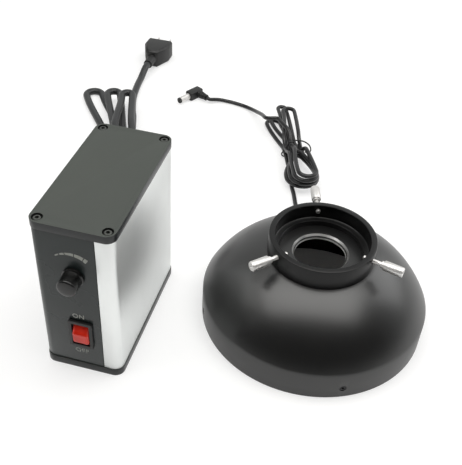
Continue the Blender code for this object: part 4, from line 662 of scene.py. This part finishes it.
bored(collar, outward_cuts(THUMB_HOLE, THUMB_AZIMUTHS, THUMB_HEIGHT, 24))
COLLAR_BLACK = finish_of(
    "collar_black_finish",
    (0.0042, 0.0042, 0.0044),
    (0.0060, 0.0060, 0.0062),
    (0.28, 0.36),
    (2200, 50),
    0.06,
    Specular_IOR_Level=0.35,
)
made_of(collar, COLLAR_BLACK)
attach(collar, "base")
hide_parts("adapter_collar")

# Thumbscrews
# Three turned brass screws, nickel plated, with a shaft, a shoulder and a finely ridged head. Turned rings
# stand for the thread. Each slides in and out through the collar to grip the adapter.
THUMB_TIPS = (0.0270, 0.0280, 0.0290)
KNURLS = 30
KNURL_SHARE = 0.94
THREADS = 9
THREAD_START = 0.0046
THREAD_PITCH = 0.0006
THREAD_ROOT = 0.00132
SHAFT_RADIUS = 0.0015
SHAFT_END = 0.012
SHOULDER_RADIUS = 0.0023
HEAD_RADIUS = 0.00325
HEAD_START = 0.0135
HEAD_END = 0.0261
NICKEL = finish_of(
    "nickel_plate", (0.78, 0.76, 0.74), (0.88, 0.87, 0.86), (0.38, 0.50), (1600, 120), 0.08, 0.85
)
for number, (azimuth, tip) in enumerate(zip(THUMB_AZIMUTHS, THUMB_TIPS), 1):
    outline = [(0, 0), (SHAFT_RADIUS - 0.0004, 0), (SHAFT_RADIUS, 0.0004)]
    for thread in range(THREADS):
        start = THREAD_START + THREAD_PITCH * thread
        outline += [(SHAFT_RADIUS, start), (THREAD_ROOT, start + THREAD_PITCH / 2)]
    outline += [
        (SHAFT_RADIUS, SHAFT_END),
        (SHOULDER_RADIUS - 0.0002, SHAFT_END),
        (SHOULDER_RADIUS, SHAFT_END + 0.0002),
        (SHOULDER_RADIUS, HEAD_START),
        (HEAD_RADIUS - 0.00035, HEAD_START + 0.0001),
        (HEAD_RADIUS, HEAD_START + 0.0006),
        (HEAD_RADIUS, HEAD_END - 0.0005),
        (HEAD_RADIUS - 0.00035, HEAD_END),
        (0.0012, HEAD_END),
        (0.0010, HEAD_END - 0.0003),
        (0, HEAD_END - 0.0003),
    ]
    bm = spun(outline, 2 * KNURLS, False)
    for vert in bm.verts:
        ridge = round(math.atan2(vert.co.y, vert.co.x) / math.tau * 2 * KNURLS)
        if vert.co.xy.length > HEAD_RADIUS - 0.00015 and ridge % 2:
            vert.co.xy *= KNURL_SHARE
    place = DOME_AXIS + Vector((math.cos(azimuth) * tip, math.sin(azimuth) * tip, THUMB_HEIGHT))
    screw = piece_of(stands_at(bm, place, outwards_turn(azimuth)), f"thumbscrew_plated_{number}", 40)
    made_of(screw, NICKEL)
    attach(screw, "thumbscrew_" + "abc"[number - 1])
    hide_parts(f"thumbscrew_{number}")

# Small screws
# Blackened steel screws: countersunk ones round the dome's rim, and the ones that hold the collar from inside
# the dome.
SCREW_BLACK = finish_of(
    "screw_black_oxide", (0.012, 0.012, 0.013), (0.028, 0.028, 0.030), (0.28, 0.42), (1500, 200), 0.15, 0.6
)
for name, node in nodes.items():
    if name.startswith(("rim_screw", "collar_screw")):
        made_of(node, SCREW_BLACK)

# Cord sleeve on the dome
# A soft black moulding in the skirt that the thin cord comes out of.
MOULDED_BLACK = finish_of("moulded_black", 0.010, 0.018, (0.38, 0.5), (1200, 60), 0.2)
made_of(nodes["dome_sleeve"], MOULDED_BLACK)

# Control box walls
# Two folded sheets that meet on a seam near the front's right side: the left one painted dark grey, the
# right one brushed silver. Their upright corners are rolled, and the plates cover their ends.
BODY_LOW = 0.0053
BODY_HIGH = 0.1072
BODY_WALL = 0.002
BODY_INSET = 0.0004
BODY_CORNER = 0.0056
CORNER_STEPS = 12
SEAM_X = 0.03845
SEAM_GAP = 0.0003
BOX_WIDTH = 0.050
BOX_DEPTH = 0.103


def round_corners(bm, corners, radius):
    """Rounds these corners of a flat outline."""
    bmesh.ops.bevel(
        bm, geom=corners, offset=radius, segments=CORNER_STEPS, profile=0.5, affect="VERTICES", material=-1
    )


def raise_faces(bm, lift):
    """Pulls flat faces out along a vector into a solid, on the faces that it started from."""
    made = bmesh.ops.extrude_face_region(bm, geom=bm.faces[:])
    moved = [part for part in made["geom"] if isinstance(part, bmesh.types.BMVert)]
    bmesh.ops.translate(bm, verts=moved, vec=lift)
    bmesh.ops.recalc_face_normals(bm, faces=bm.faces)


def folded_wall(name, side, seam):
    """A wall bent round one side of the box, from the seam on the front to the seam on the back."""
    edge = BODY_INSET if side < 0 else BOX_WIDTH - BODY_INSET
    front = BODY_INSET
    back = BOX_DEPTH - BODY_INSET
    bm = bmesh.new()
    corners = ((seam, front), (edge, front), (edge, back), (seam, back))
    verts = [bm.verts.new((x, y, BODY_LOW)) for x, y in corners]
    edges = [bm.edges.new(pair) for pair in zip(verts, verts[1:])]
    round_corners(bm, verts[1:3], BODY_CORNER)
    lifted = bmesh.ops.extrude_edge_only(bm, edges=bm.edges[:])
    tops = [part for part in lifted["geom"] if isinstance(part, bmesh.types.BMVert)]
    bmesh.ops.translate(bm, verts=tops, vec=(0, 0, BODY_HIGH - BODY_LOW))
    bmesh.ops.recalc_face_normals(bm, faces=bm.faces)
    middle = Vector((BOX_WIDTH / 2, BOX_DEPTH / 2, 0))
    if sum(face.normal.dot(face.calc_center_median() - middle) * face.calc_area() for face in bm.faces) < 0:
        bmesh.ops.reverse_faces(bm, faces=bm.faces)
    wall = piece_of(stands_at(bm, BOX_CORNER), name)
    thick = wall.modifiers.new("sheet", "SOLIDIFY")
    thick.thickness = BODY_WALL
    thick.offset = -1
    return rounded(wall, width=0.0002, segments=2, limit=50)


PANEL_GREY = finish_of(
    "panel_satin_grey", (0.020, 0.027, 0.0265), (0.024, 0.031, 0.0300), (0.24, 0.30), (2400, 14), 0.06
)
black_wall = made_of(folded_wall("box_grey_wall", -1, SEAM_X), PANEL_GREY)
silver_wall = folded_wall("box_silver_wall", 1, SEAM_X + SEAM_GAP)


def brushed_metal(name, dark, light, rough, stretch, metallic, clouds):
    """Metal drawn along one direction: fine lines stretched along it, over slow clouds."""
    made = finish_of(name, dark, light, rough, (1, clouds), 0.12, metallic)
    tree = made.node_tree
    place = tree.nodes["Texture Coordinate"]
    lines = tree.nodes.new("ShaderNodeMapping")
    lines.inputs["Scale"].default_value = stretch
    tree.links.new(place.outputs["Object"], lines.inputs["Vector"])
    streaks = tree.nodes.new("ShaderNodeTexNoise")
    streaks.inputs["Scale"].default_value = 1
    streaks.inputs["Detail"].default_value = 4
    tree.links.new(lines.outputs["Vector"], streaks.inputs["Vector"])
    tree.links.new(streaks.outputs["Fac"], tree.nodes["Map Range"].inputs["Value"])
    tree.links.new(streaks.outputs["Fac"], tree.nodes["Bump"].inputs["Height"])
    return made


SILVER = brushed_metal(
    "brushed_silver", (0.88, 0.90, 0.89), (0.95, 0.97, 0.96), (0.36, 0.48), (60, 60, 4200), 0.9, 12
)
made_of(silver_wall, SILVER)
for wall, node in ((black_wall, "box_black_half"), (silver_wall, "box_silver_half")):
    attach(wall, "base")
    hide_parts(node)

# Top and bottom plates
# Two thick cast plates with rounded corners, painted a warm dark grey with a fine texture, and smoother on
# their edges, where a darker grey is painted shade. Each has four counterbored holes for its screws, whose
# walls are painted near black as painted shadow.
PLATE_GREY = finish_of(
    "plate_textured_grey", (0.045, 0.052, 0.045), (0.051, 0.058, 0.050), (0.52, 0.62), (3000, 9), 0.2
)
# A darker grey for the plates' side faces: painted shade where less light falls on them.
PLATE_EDGE_SHADE = finish_of(
    "plate_edge_painted_shade", (0.012, 0.014, 0.015), (0.016, 0.019, 0.020), (0.26, 0.34), (2400, 14), 0.06
)
# Near black for the counterbore walls: painted shadow inside the holes.
BORE_SHADOW = finish_of("screw_bore_painted_shadow", 0.003, 0.005, (0.6, 0.7), (1500, 90), 0.1)
PLATE_CORNER = 0.006
PLATE_CORNER_CUT = 0.0012
PLATE_RIM = 0.0008
PLATE_SCREW_INSET = 0.00475
BORE_RADIUS = 0.00325
BORE_DEPTH = 0.0035
PLATE_HOLE = (
    (0, -0.001),
    (BORE_RADIUS, -0.001),
    (BORE_RADIUS, BORE_DEPTH),
    (0.0016, BORE_DEPTH),
    (0.0016, 0.006),
    (0, 0.006),
)


def plate(name, node, low, high):
    """A thick plate with rounded corners and eased edges."""
    bm = bmesh.new()
    corners = ((0, 0), (BOX_WIDTH, 0), (BOX_WIDTH, BOX_DEPTH), (0, BOX_DEPTH))
    bm.faces.new([bm.verts.new((x, y, low)) for x, y in corners])
    round_corners(bm, bm.verts[:], PLATE_CORNER)
    raise_faces(bm, (0, 0, high - low))
    made = piece_of(stands_at(bm, BOX_CORNER), name)
    outer, step = (high, -1) if low > BODY_LOW else (low, 1)
    cuts = []
    for x in (PLATE_SCREW_INSET, BOX_WIDTH - PLATE_SCREW_INSET):
        for y in (PLATE_SCREW_INSET, BOX_DEPTH - PLATE_SCREW_INSET):
            cut = spun([(radius, outer + step * depth) for radius, depth in PLATE_HOLE], 40, False)
            cuts.append(stands_at(cut, BOX_CORNER + Vector((x, y, 0))))
    rounded(bored(made, cuts), width=0.00035, segments=3, limit=50)
    made_of(made, PLATE_GREY)
    made.data.materials.append(PLATE_EDGE_SHADE)
    made.data.materials.append(BORE_SHADOW)
    for face in made.data.polygons:
        flat = face.center - BOX_CORNER
        x_in = min(flat.x, BOX_WIDTH - flat.x)
        y_in = min(flat.y, BOX_DEPTH - flat.y)
        rim = PLATE_RIM + PLATE_CORNER_CUT * (max(x_in, y_in) < PLATE_CORNER)
        # Side faces take the darker grey, as painted shade.
        if abs(face.normal.z) < 0.97 and min(x_in, y_in) < rim:
            face.material_index = 1
        # Counterbore walls and floors take near black, as painted shadow.
        in_bore = math.hypot(x_in - PLATE_SCREW_INSET, y_in - PLATE_SCREW_INSET) < BORE_RADIUS + 0.00015
        if in_bore and (abs(face.normal.z) < 0.5 or abs(flat.z - outer) > 0.001):
            face.material_index = 2
    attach(made, "base")
    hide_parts(node)


plate("top_plate_cast", "top_plate", 0.1075, 0.1125)
plate("bottom_plate_cast", "bottom_plate", 0, 0.005)

# Plate screws
# Socket-headed screws, painted over with the plates, that stand just below the face in their counterbores.
SCREW_GREY = finish_of(
    "painted_screw_head", (0.046, 0.050, 0.046), (0.060, 0.064, 0.058), (0.4, 0.5), (1800, 200), 0.15
)
SCREW_SUNK = 0.0002
SOCKET_RADIUS = 0.0013
SOCKET_DEPTH = 0.002
SCREW_OUTLINE = (
    (0, -0.0125),
    (0.0012, -0.0125),
    (0.0013, -0.0124),
    (0.0013, -0.003),
    (0.00225, -0.003),
    (0.00235, -0.0029),
    (0.00235, -0.0005),
    (0.0022, -0.0002),
    (0.0019, 0),
    (0, 0),
)


def plate_screw(node, turn):
    """A socket-headed screw where the node lies, upright or turned over, with a rounded head."""
    low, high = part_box(node)
    middle = (Vector(low) + Vector(high)) / 2
    top = high[2] if turn > 0 else low[2]
    screw = piece_of(spun(SCREW_OUTLINE, 36, False), f"{node}_socket_head")
    hexagon = bmesh.new()
    depth = 2 * SOCKET_DEPTH
    bmesh.ops.create_cone(
        hexagon, cap_ends=True, segments=6, radius1=SOCKET_RADIUS, radius2=SOCKET_RADIUS, depth=depth
    )
    bored(screw, [hexagon])
    place = Matrix.Translation((middle.x, middle.y, top - turn * SCREW_SUNK))
    screw.data.transform(place @ Matrix.Diagonal((1, turn, turn, 1)))
    made_of(screw, SCREW_GREY)
    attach(screw, "base")
    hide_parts(node)


for name in [name for name in nodes if name.startswith(("top_screw", "bottom_screw"))]:
    plate_screw(name, 1 if name.startswith("top") else -1)

# Panel lettering
# Pale grey printing on the panel: ON and OFF by the switch, and a wedge round the knob that grows with
# the brightness.
PRINT = finish_of("panel_print", (0.36, 0.37, 0.34), (0.46, 0.47, 0.44), (0.5, 0.6), (2500, 90), 0.1)
PRINT_THICKNESS = 0.00004
PRINT_FACE = BODY_INSET - PRINT_THICKNESS
LETTER_SIZE = 0.0046
KNOB_PLACE = BOX_CORNER + Vector((0.0250, BODY_INSET, 0.0784))
SCALE_BLOCKS = ((128, 120), (117, 107), (105, 87), (85, 66), (64, 56))
SCALE_STEPS = 6
SCALE_OUTER = 0.0167
SCALE_NARROW = 0.0007
SCALE_WIDE = 0.0030


def printed(text, x, z):
    """Flat letters on the panel, as a mesh, centred on a place."""
    letters = bpy.data.curves.new(text, "FONT")
    letters.body = text
    letters.size = LETTER_SIZE
    letters.align_x = "CENTER"
    letters.align_y = "CENTER"
    letters.extrude = PRINT_THICKNESS / 2
    letters.space_character = 1.12
    letters.offset = 0.00006
    source = bpy.data.objects.new(text, letters)
    bpy.context.scene.collection.objects.link(source)
    graph = bpy.context.evaluated_depsgraph_get()
    bm = bmesh.new()
    bm.from_mesh(source.evaluated_get(graph).to_mesh())
    bpy.data.objects.remove(source)
    stands_at(bm, BOX_CORNER + Vector((x, PRINT_FACE, z)), Matrix.Rotation(math.pi / 2, 4, "X"))
    made = piece_of(bm, f"print_{text.lower()}")
    made_of(made, PRINT)
    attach(made, "base")


printed("ON", 0.0249, 0.0458)
printed("OFF", 0.0250, 0.0160)
scale_start = SCALE_BLOCKS[0][0]
scale_end = SCALE_BLOCKS[-1][1]
bm = bmesh.new()
for start, end in SCALE_BLOCKS:
    rows = []
    for step in range(SCALE_STEPS + 1):
        turn = mixed(start, end, step / SCALE_STEPS)
        width = mixed(SCALE_NARROW, SCALE_WIDE, (scale_start - turn) / (scale_start - scale_end))
        way = Vector((math.cos(math.radians(turn)), 0, math.sin(math.radians(turn))))
        rows.append([bm.verts.new(reach * way) for reach in (SCALE_OUTER - width, SCALE_OUTER)])
    for before, after in zip(rows, rows[1:]):
        bm.faces.new((before[0], before[1], after[1], after[0]))
raise_faces(bm, (0, -PRINT_THICKNESS, 0))
wedge = piece_of(stands_at(bm, KNOB_PLACE), "print_scale")
made_of(wedge, PRINT)
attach(wedge, "base")

# Knob
# A glossy black moulding on the potentiometer's shaft, with a skirt ring and a slightly domed face. It is
# hollow underneath, with a bore for the shaft.
KNOB_OUTLINE = (
    (0, 0.0088),
    (0.0023, 0.0088),
    (0.0023, 0.0043),
    (0.0056, 0.0043),
    (0.0056, 0.0007),
    (0.0064, 0.0006),
    (0.0066, 0.0008),
    (0.0066, 0.0022),
    (0.0063, 0.0026),
    (0.0060, 0.0028),
    (0.0059, 0.0031),
    (0.0058, 0.0060),
    (0.0058, 0.0102),
    (0.00575, 0.0107),
    (0.0055, 0.0111),
    (0.0050, 0.0114),
    (0.0040, 0.01168),
    (0.0027, 0.01188),
    (0.0013, 0.01197),
    (0, 0.0120),
)
bm = stands_at(spun(KNOB_OUTLINE, 96, False), KNOB_PLACE, Matrix.Rotation(math.pi / 2, 4, "X"))
knob = piece_of(bm, "knob_moulded")
KNOB_BLACK = finish_of(
    "knob_gloss_black", 0.006, (0.010, 0.0095, 0.009), (0.20, 0.28), (1400, 90), 0.04
)
made_of(knob, KNOB_BLACK)
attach(knob, "knob")
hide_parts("knob")

# Rocker switch
# A small snap-in switch: a black moulded bezel and housing, and a translucent red rocker with a ridge
# across its middle, pressed at the top.
ROCKER_WIDTH = 0.0103
ROCKER_HALF = 0.0074
ROCKER_SLOPE = math.radians(12.5)
ROCKER_RIDGE = 0.0045
ROCKER_END = 0.0026
ROCKER_PIN = 0.0008
ROCKER_PIN_REACH = 0.00585
ROCKER_ROUNDING = 0.0014
ROCKER_STEPS = 8
ROCKER_SHOULDER = 0.0039
ROCKER_SHOULDER_HALF = 0.0016
ROCKER_TIP = 0.0025
ROCKER_TIP_EASE = 0.0020
ROCKER_RIDGE_EASE = 0.0008
ROCKER_KEEL = 0.0030
ROCKER_KEEL_HALF = 0.0024
ROCKER_PLACE = BOX_CORNER + Vector((0.0260, 0.0014, 0.0319))
housing = softened("switch_housing", width=0.0003, segments=3)
made_of(housing, MOULDED_BLACK)
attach(housing, "base")
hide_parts("switch_housing")


def rocker_outline():
    """The rocker's side view as (height, reach out of the panel), with its corners eased, about its pivot."""
    under = ROCKER_TIP - ROCKER_END
    corners = (
        (-ROCKER_HALF, under, 0),
        (-ROCKER_HALF, ROCKER_TIP, ROCKER_TIP_EASE),
        (-ROCKER_SHOULDER_HALF, ROCKER_SHOULDER, ROCKER_RIDGE_EASE),
        (0, ROCKER_RIDGE, ROCKER_RIDGE_EASE),
        (ROCKER_SHOULDER_HALF, ROCKER_SHOULDER, ROCKER_RIDGE_EASE),
        (ROCKER_HALF, ROCKER_TIP, ROCKER_TIP_EASE),
        (ROCKER_HALF, under, 0),
        (ROCKER_KEEL_HALF, -ROCKER_KEEL, 0),
        (-ROCKER_KEEL_HALF, -ROCKER_KEEL, 0),
    )
    places = [Vector(corner[:2]) for corner in corners]
    points = []
    for index, place in enumerate(places):
        reach = corners[index][2]
        if not reach:
            points.append(place)
            continue
        start = place + reach * (places[index - 1] - place).normalized()
        end = place + reach * (places[index + 1] - place).normalized()
        for step in range(ROCKER_STEPS + 1):
            share = step / ROCKER_STEPS
            points.append((1 - share) ** 2 * start + 2 * share * (1 - share) * place + share**2 * end)
    return points


def rocker_mesh():
    """The rocker about its pivot: two slopes that fall away from a ridge, with rounded sides and two pins."""
    points = rocker_outline()
    bm = bmesh.new()
    rows = []
    for side in (-1, 1):
        for step in range(ROCKER_STEPS + 1):
            turn = math.pi / 2 * (step if side < 0 else ROCKER_STEPS - step) / ROCKER_STEPS
            x = side * (ROCKER_WIDTH / 2 - ROCKER_ROUNDING * (1 - math.cos(turn)))
            inset = ROCKER_ROUNDING * (1 - math.sin(turn))
            row = []
            for index, point in enumerate(points):
                along = (points[(index + 1) % len(points)] - points[index - 1]).normalized()
                up, out = point + inset * Vector((along.y, -along.x))
                row.append(bm.verts.new((x, -out, up)))
            rows.append(row)
    for before, after in zip(rows, rows[1:]):
        for index in range(len(points)):
            bm.faces.new((before[index - 1], before[index], after[index], after[index - 1]))
    bm.faces.new(rows[0])
    bm.faces.new(rows[-1])
    bmesh.ops.recalc_face_normals(bm, faces=bm.faces)
    bmesh.ops.create_cone(
        bm,
        cap_ends=True,
        segments=24,
        radius1=ROCKER_PIN,
        radius2=ROCKER_PIN,
        depth=2 * ROCKER_PIN_REACH,
        matrix=Matrix.Rotation(math.pi / 2, 4, "Y"),
    )
    bmesh.ops.rotate(bm, verts=bm.verts, cent=(0, 0, 0), matrix=Matrix.Rotation(-ROCKER_SLOPE, 3, "X"))
    return bm


rocker = piece_of(stands_at(rocker_mesh(), ROCKER_PLACE), "rocker", 50)
ROCKER_RED = finish_of(
    "rocker_red_moulding",
    (0.74, 0.024, 0.010),
    (0.86, 0.036, 0.014),
    (0.12, 0.18),
    (1200, 120),
    0.05,
    Subsurface_Weight=0.15,
    Subsurface_Scale=0.002,
)
made_of(rocker, ROCKER_RED)
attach(rocker, "rocker")
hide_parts("switch_rocker")

# Inside and behind the box
# The potentiometer, switch blades, driver board and its pieces, and the socket and gland in the back wall.
BOARD_GREEN = finish_of("board_green", (0.02, 0.10, 0.04), (0.03, 0.15, 0.06), (0.35, 0.5), (900, 60), 0.15)
SLEEVE_BLUE = finish_of(
    "capacitor_sleeve", (0.02, 0.04, 0.18), (0.03, 0.06, 0.24), (0.25, 0.35), (900, 60), 0.08
)
for name in ("pot_shaft", "pot_nut", "switch_terminal_1", "switch_terminal_2", "dc_jack_nut"):
    made_of(nodes[name], NICKEL)
for name in ("pot_body", "transformer", "dc_jack", "mains_gland"):
    made_of(nodes[name], MOULDED_BLACK)
made_of(nodes["heat_sink"], SILVER)
made_of(nodes["driver_board"], BOARD_GREEN)
made_of(nodes["main_capacitor"], SLEEVE_BLUE)

# Low-voltage plug
# A right-angle barrel plug: a black moulded body with a ribbed sleeve for the cord, a nickel barrel with a
# collar, and a black insulating ring at its mouth.
PLUG_SIZE = (0.016, 0.0082, 0.0082)
PLUG_RIBS = 3
PLUG_RIB_PITCH = 0.0020
bm = bmesh.new()
bmesh.ops.create_cube(bm, size=1)
bmesh.ops.scale(bm, vec=PLUG_SIZE, verts=bm.verts)
bmesh.ops.translate(bm, vec=(-PLUG_SIZE[0] / 2, 0, 0), verts=bm.verts)
bmesh.ops.bevel(bm, geom=bm.edges[:], offset=0.0011, segments=4, profile=0.5, affect="EDGES", material=-1)
outline = [(0, 0.001), (0.0038, 0.001), (0.0038, 0.0040), (0.0036, 0.0052)]
for rib in range(PLUG_RIBS):
    start = 0.0062 + PLUG_RIB_PITCH * rib
    wide = 0.0036 - 0.0003 * rib
    outline += [
        (wide, start),
        (wide - 0.0004, start + 0.0002),
        (wide - 0.0004, start + 0.0008),
        (wide - 0.0001, start + 0.001),
    ]
outline += [(0.0029, 0.0124), (0.0029, PLUG_RELIEF_END - 0.0003), (0.0026, PLUG_RELIEF_END)]
outline += [(0, PLUG_RELIEF_END)]
relief = stands_at(spun(outline, 40, False), (-PLUG_SIDE_EXIT, 0, 0), Matrix.Rotation(-math.pi / 2, 4, "X"))
relief_mesh = bpy.data.meshes.new("relief")
relief.to_mesh(relief_mesh)
relief.free()
bm.from_mesh(relief_mesh)
bpy.data.meshes.remove(relief_mesh)
plug_body = piece_of(stands_at(bm, PLUG_FOOT, Matrix.Rotation(PLUG_AZIMUTH, 4, "Z")), "low_voltage_plug", 40)
made_of(plug_body, MOULDED_BLACK)
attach(plug_body, "base")
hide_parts("dc_plug_body")
made_of(nodes["dc_plug_barrel"], NICKEL)
made_of(nodes["dc_plug_tip"], MOULDED_BLACK)

# Mains plug
# A two-pin moulded plug at the far end of the thick cord.
mains_body = softened("mains_plug_body", width=0.0006, segments=3)
made_of(mains_body, MOULDED_BLACK)
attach(mains_body, "base")
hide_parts("mains_plug_body")
for name in ("mains_pin_1", "mains_pin_2"):
    made_of(nodes[name], NICKEL)

# Table, room and lamps
# A white table that runs on past the view, a room that is dark in front and pale behind, a large soft lamp
# overhead, and smaller ones to the back right and front left. The table and the room are white to the eye,
# and the table keeps the soft shadows.
TABLE_HALF = 4
TABLE_LIGHT = (0.80, 0.80, 0.79, 1)
TABLE_SHADE = (0.50, 0.50, 0.50, 1)
LEAST_GLOW = 0.012
GLOW_REACH = (0.6, 2.0)
GLOW = (0.54, 0.95)
MIRRORED_DROP = 0.1
ROOM_WHITE = (0.97, 0.98, 0.97, 1)
ROOM_SIDES = (-0.22, 0.75)
ROOM_GLOW = (0.03, 0.75)
bm = bmesh.new()
bmesh.ops.create_grid(bm, x_segments=1, y_segments=1, size=TABLE_HALF)
table = piece_of(bm, "table")
cloth = bpy.data.materials.new("table_white")
cloth.use_nodes = True
tree = cloth.node_tree
tree.nodes.remove(tree.nodes["Principled BSDF"])
paths = tree.nodes.new("ShaderNodeLightPath").outputs
seen = worked_out(tree, "MAXIMUM", paths["Is Camera Ray"], paths["Is Glossy Ray"])
seen = worked_out(tree, "MAXIMUM", seen, paths["Is Transmission Ray"])
plain = tree.nodes.new("ShaderNodeBsdfDiffuse")
plain.inputs["Color"].default_value = TABLE_LIGHT
shown = tree.nodes.new("ShaderNodeBsdfDiffuse")
shown.inputs["Color"].default_value = TABLE_SHADE
glow = tree.nodes.new("ShaderNodeEmission")
whole = tree.nodes.new("ShaderNodeAddShader")
tree.links.new(shown.outputs["BSDF"], whole.inputs[0])
tree.links.new(glow.outputs["Emission"], whole.inputs[1])
choice = tree.nodes.new("ShaderNodeMixShader")
tree.links.new(seen, choice.inputs["Fac"])
tree.links.new(plain.outputs["BSDF"], choice.inputs[1])
tree.links.new(whole.outputs["Shader"], choice.inputs[2])
tree.links.new(choice.outputs["Shader"], tree.nodes["Material Output"].inputs["Surface"])
# Under the dome the table is in the dark, so there it has next to no glow of its own. Far from the lamps it
# glows more, so that it stays white out to where it meets the room.
spot = tree.nodes.new("ShaderNodeTexCoord")
away = tree.nodes.new("ShaderNodeVectorMath")
away.operation = "DISTANCE"
away.inputs[1].default_value = DOME_AXIS
tree.links.new(spot.outputs["Object"], away.inputs[0])
outside = worked_out(tree, "GREATER_THAN", away.outputs["Value"], DOME_RADIUS - DOME_WALL)
amount = ranged(tree, away.outputs["Value"], GLOW_REACH, GLOW)
amount = worked_out(tree, "MULTIPLY_ADD", outside, amount, LEAST_GLOW)
amount = worked_out(tree, "MULTIPLY_ADD", paths["Is Glossy Ray"], -MIRRORED_DROP, amount)
tree.links.new(amount, glow.inputs["Strength"])
table.data.materials.append(cloth)

world = bpy.data.worlds.new("room")
world.use_nodes = True
room = world.node_tree
aim = room.nodes.new("ShaderNodeTexCoord")
parts = room.nodes.new("ShaderNodeSeparateXYZ")
room.links.new(aim.outputs["Generated"], parts.inputs["Vector"])
bright = ranged(room, parts.outputs["Y"], ROOM_SIDES, ROOM_GLOW, "SMOOTHSTEP")
seen = room.nodes.new("ShaderNodeLightPath").outputs["Is Camera Ray"]
bright = worked_out(room, "MAXIMUM", bright, seen)
room.nodes["Background"].inputs["Color"].default_value = ROOM_WHITE
room.links.new(bright, room.nodes["Background"].inputs["Strength"])
bpy.context.scene.world = world


def soft_lamp(name, place, aim, size, power, colour=(1, 1, 1)):
    """A flat lamp that faces a place."""
    light = bpy.data.lights.new(name, "AREA")
    light.shape = "RECTANGLE"
    light.size, light.size_y = size
    light.energy = power
    light.color = colour
    made = bpy.data.objects.new(name, light)
    made.location = place
    made.rotation_euler = (Vector(aim) - Vector(place)).to_track_quat("-Z", "Y").to_euler()
    bpy.context.scene.collection.objects.link(made)


soft_lamp("overhead_lamp", (-0.05, -0.06, 1.15), (-0.066, 0.03, 0.05), (1.9, 0.85), 15.8, (1.0, 0.99, 0.965))
soft_lamp("back_right_lamp", (1.0, 0.9, 0.8), (0, 0.05, 0.05), (0.9, 0.9), 4.5)
soft_lamp("front_left_lamp", (-1.07, -0.47, 0.64), (-0.088, -0.088, 0.078), (0.35, 0.35), 0.5)
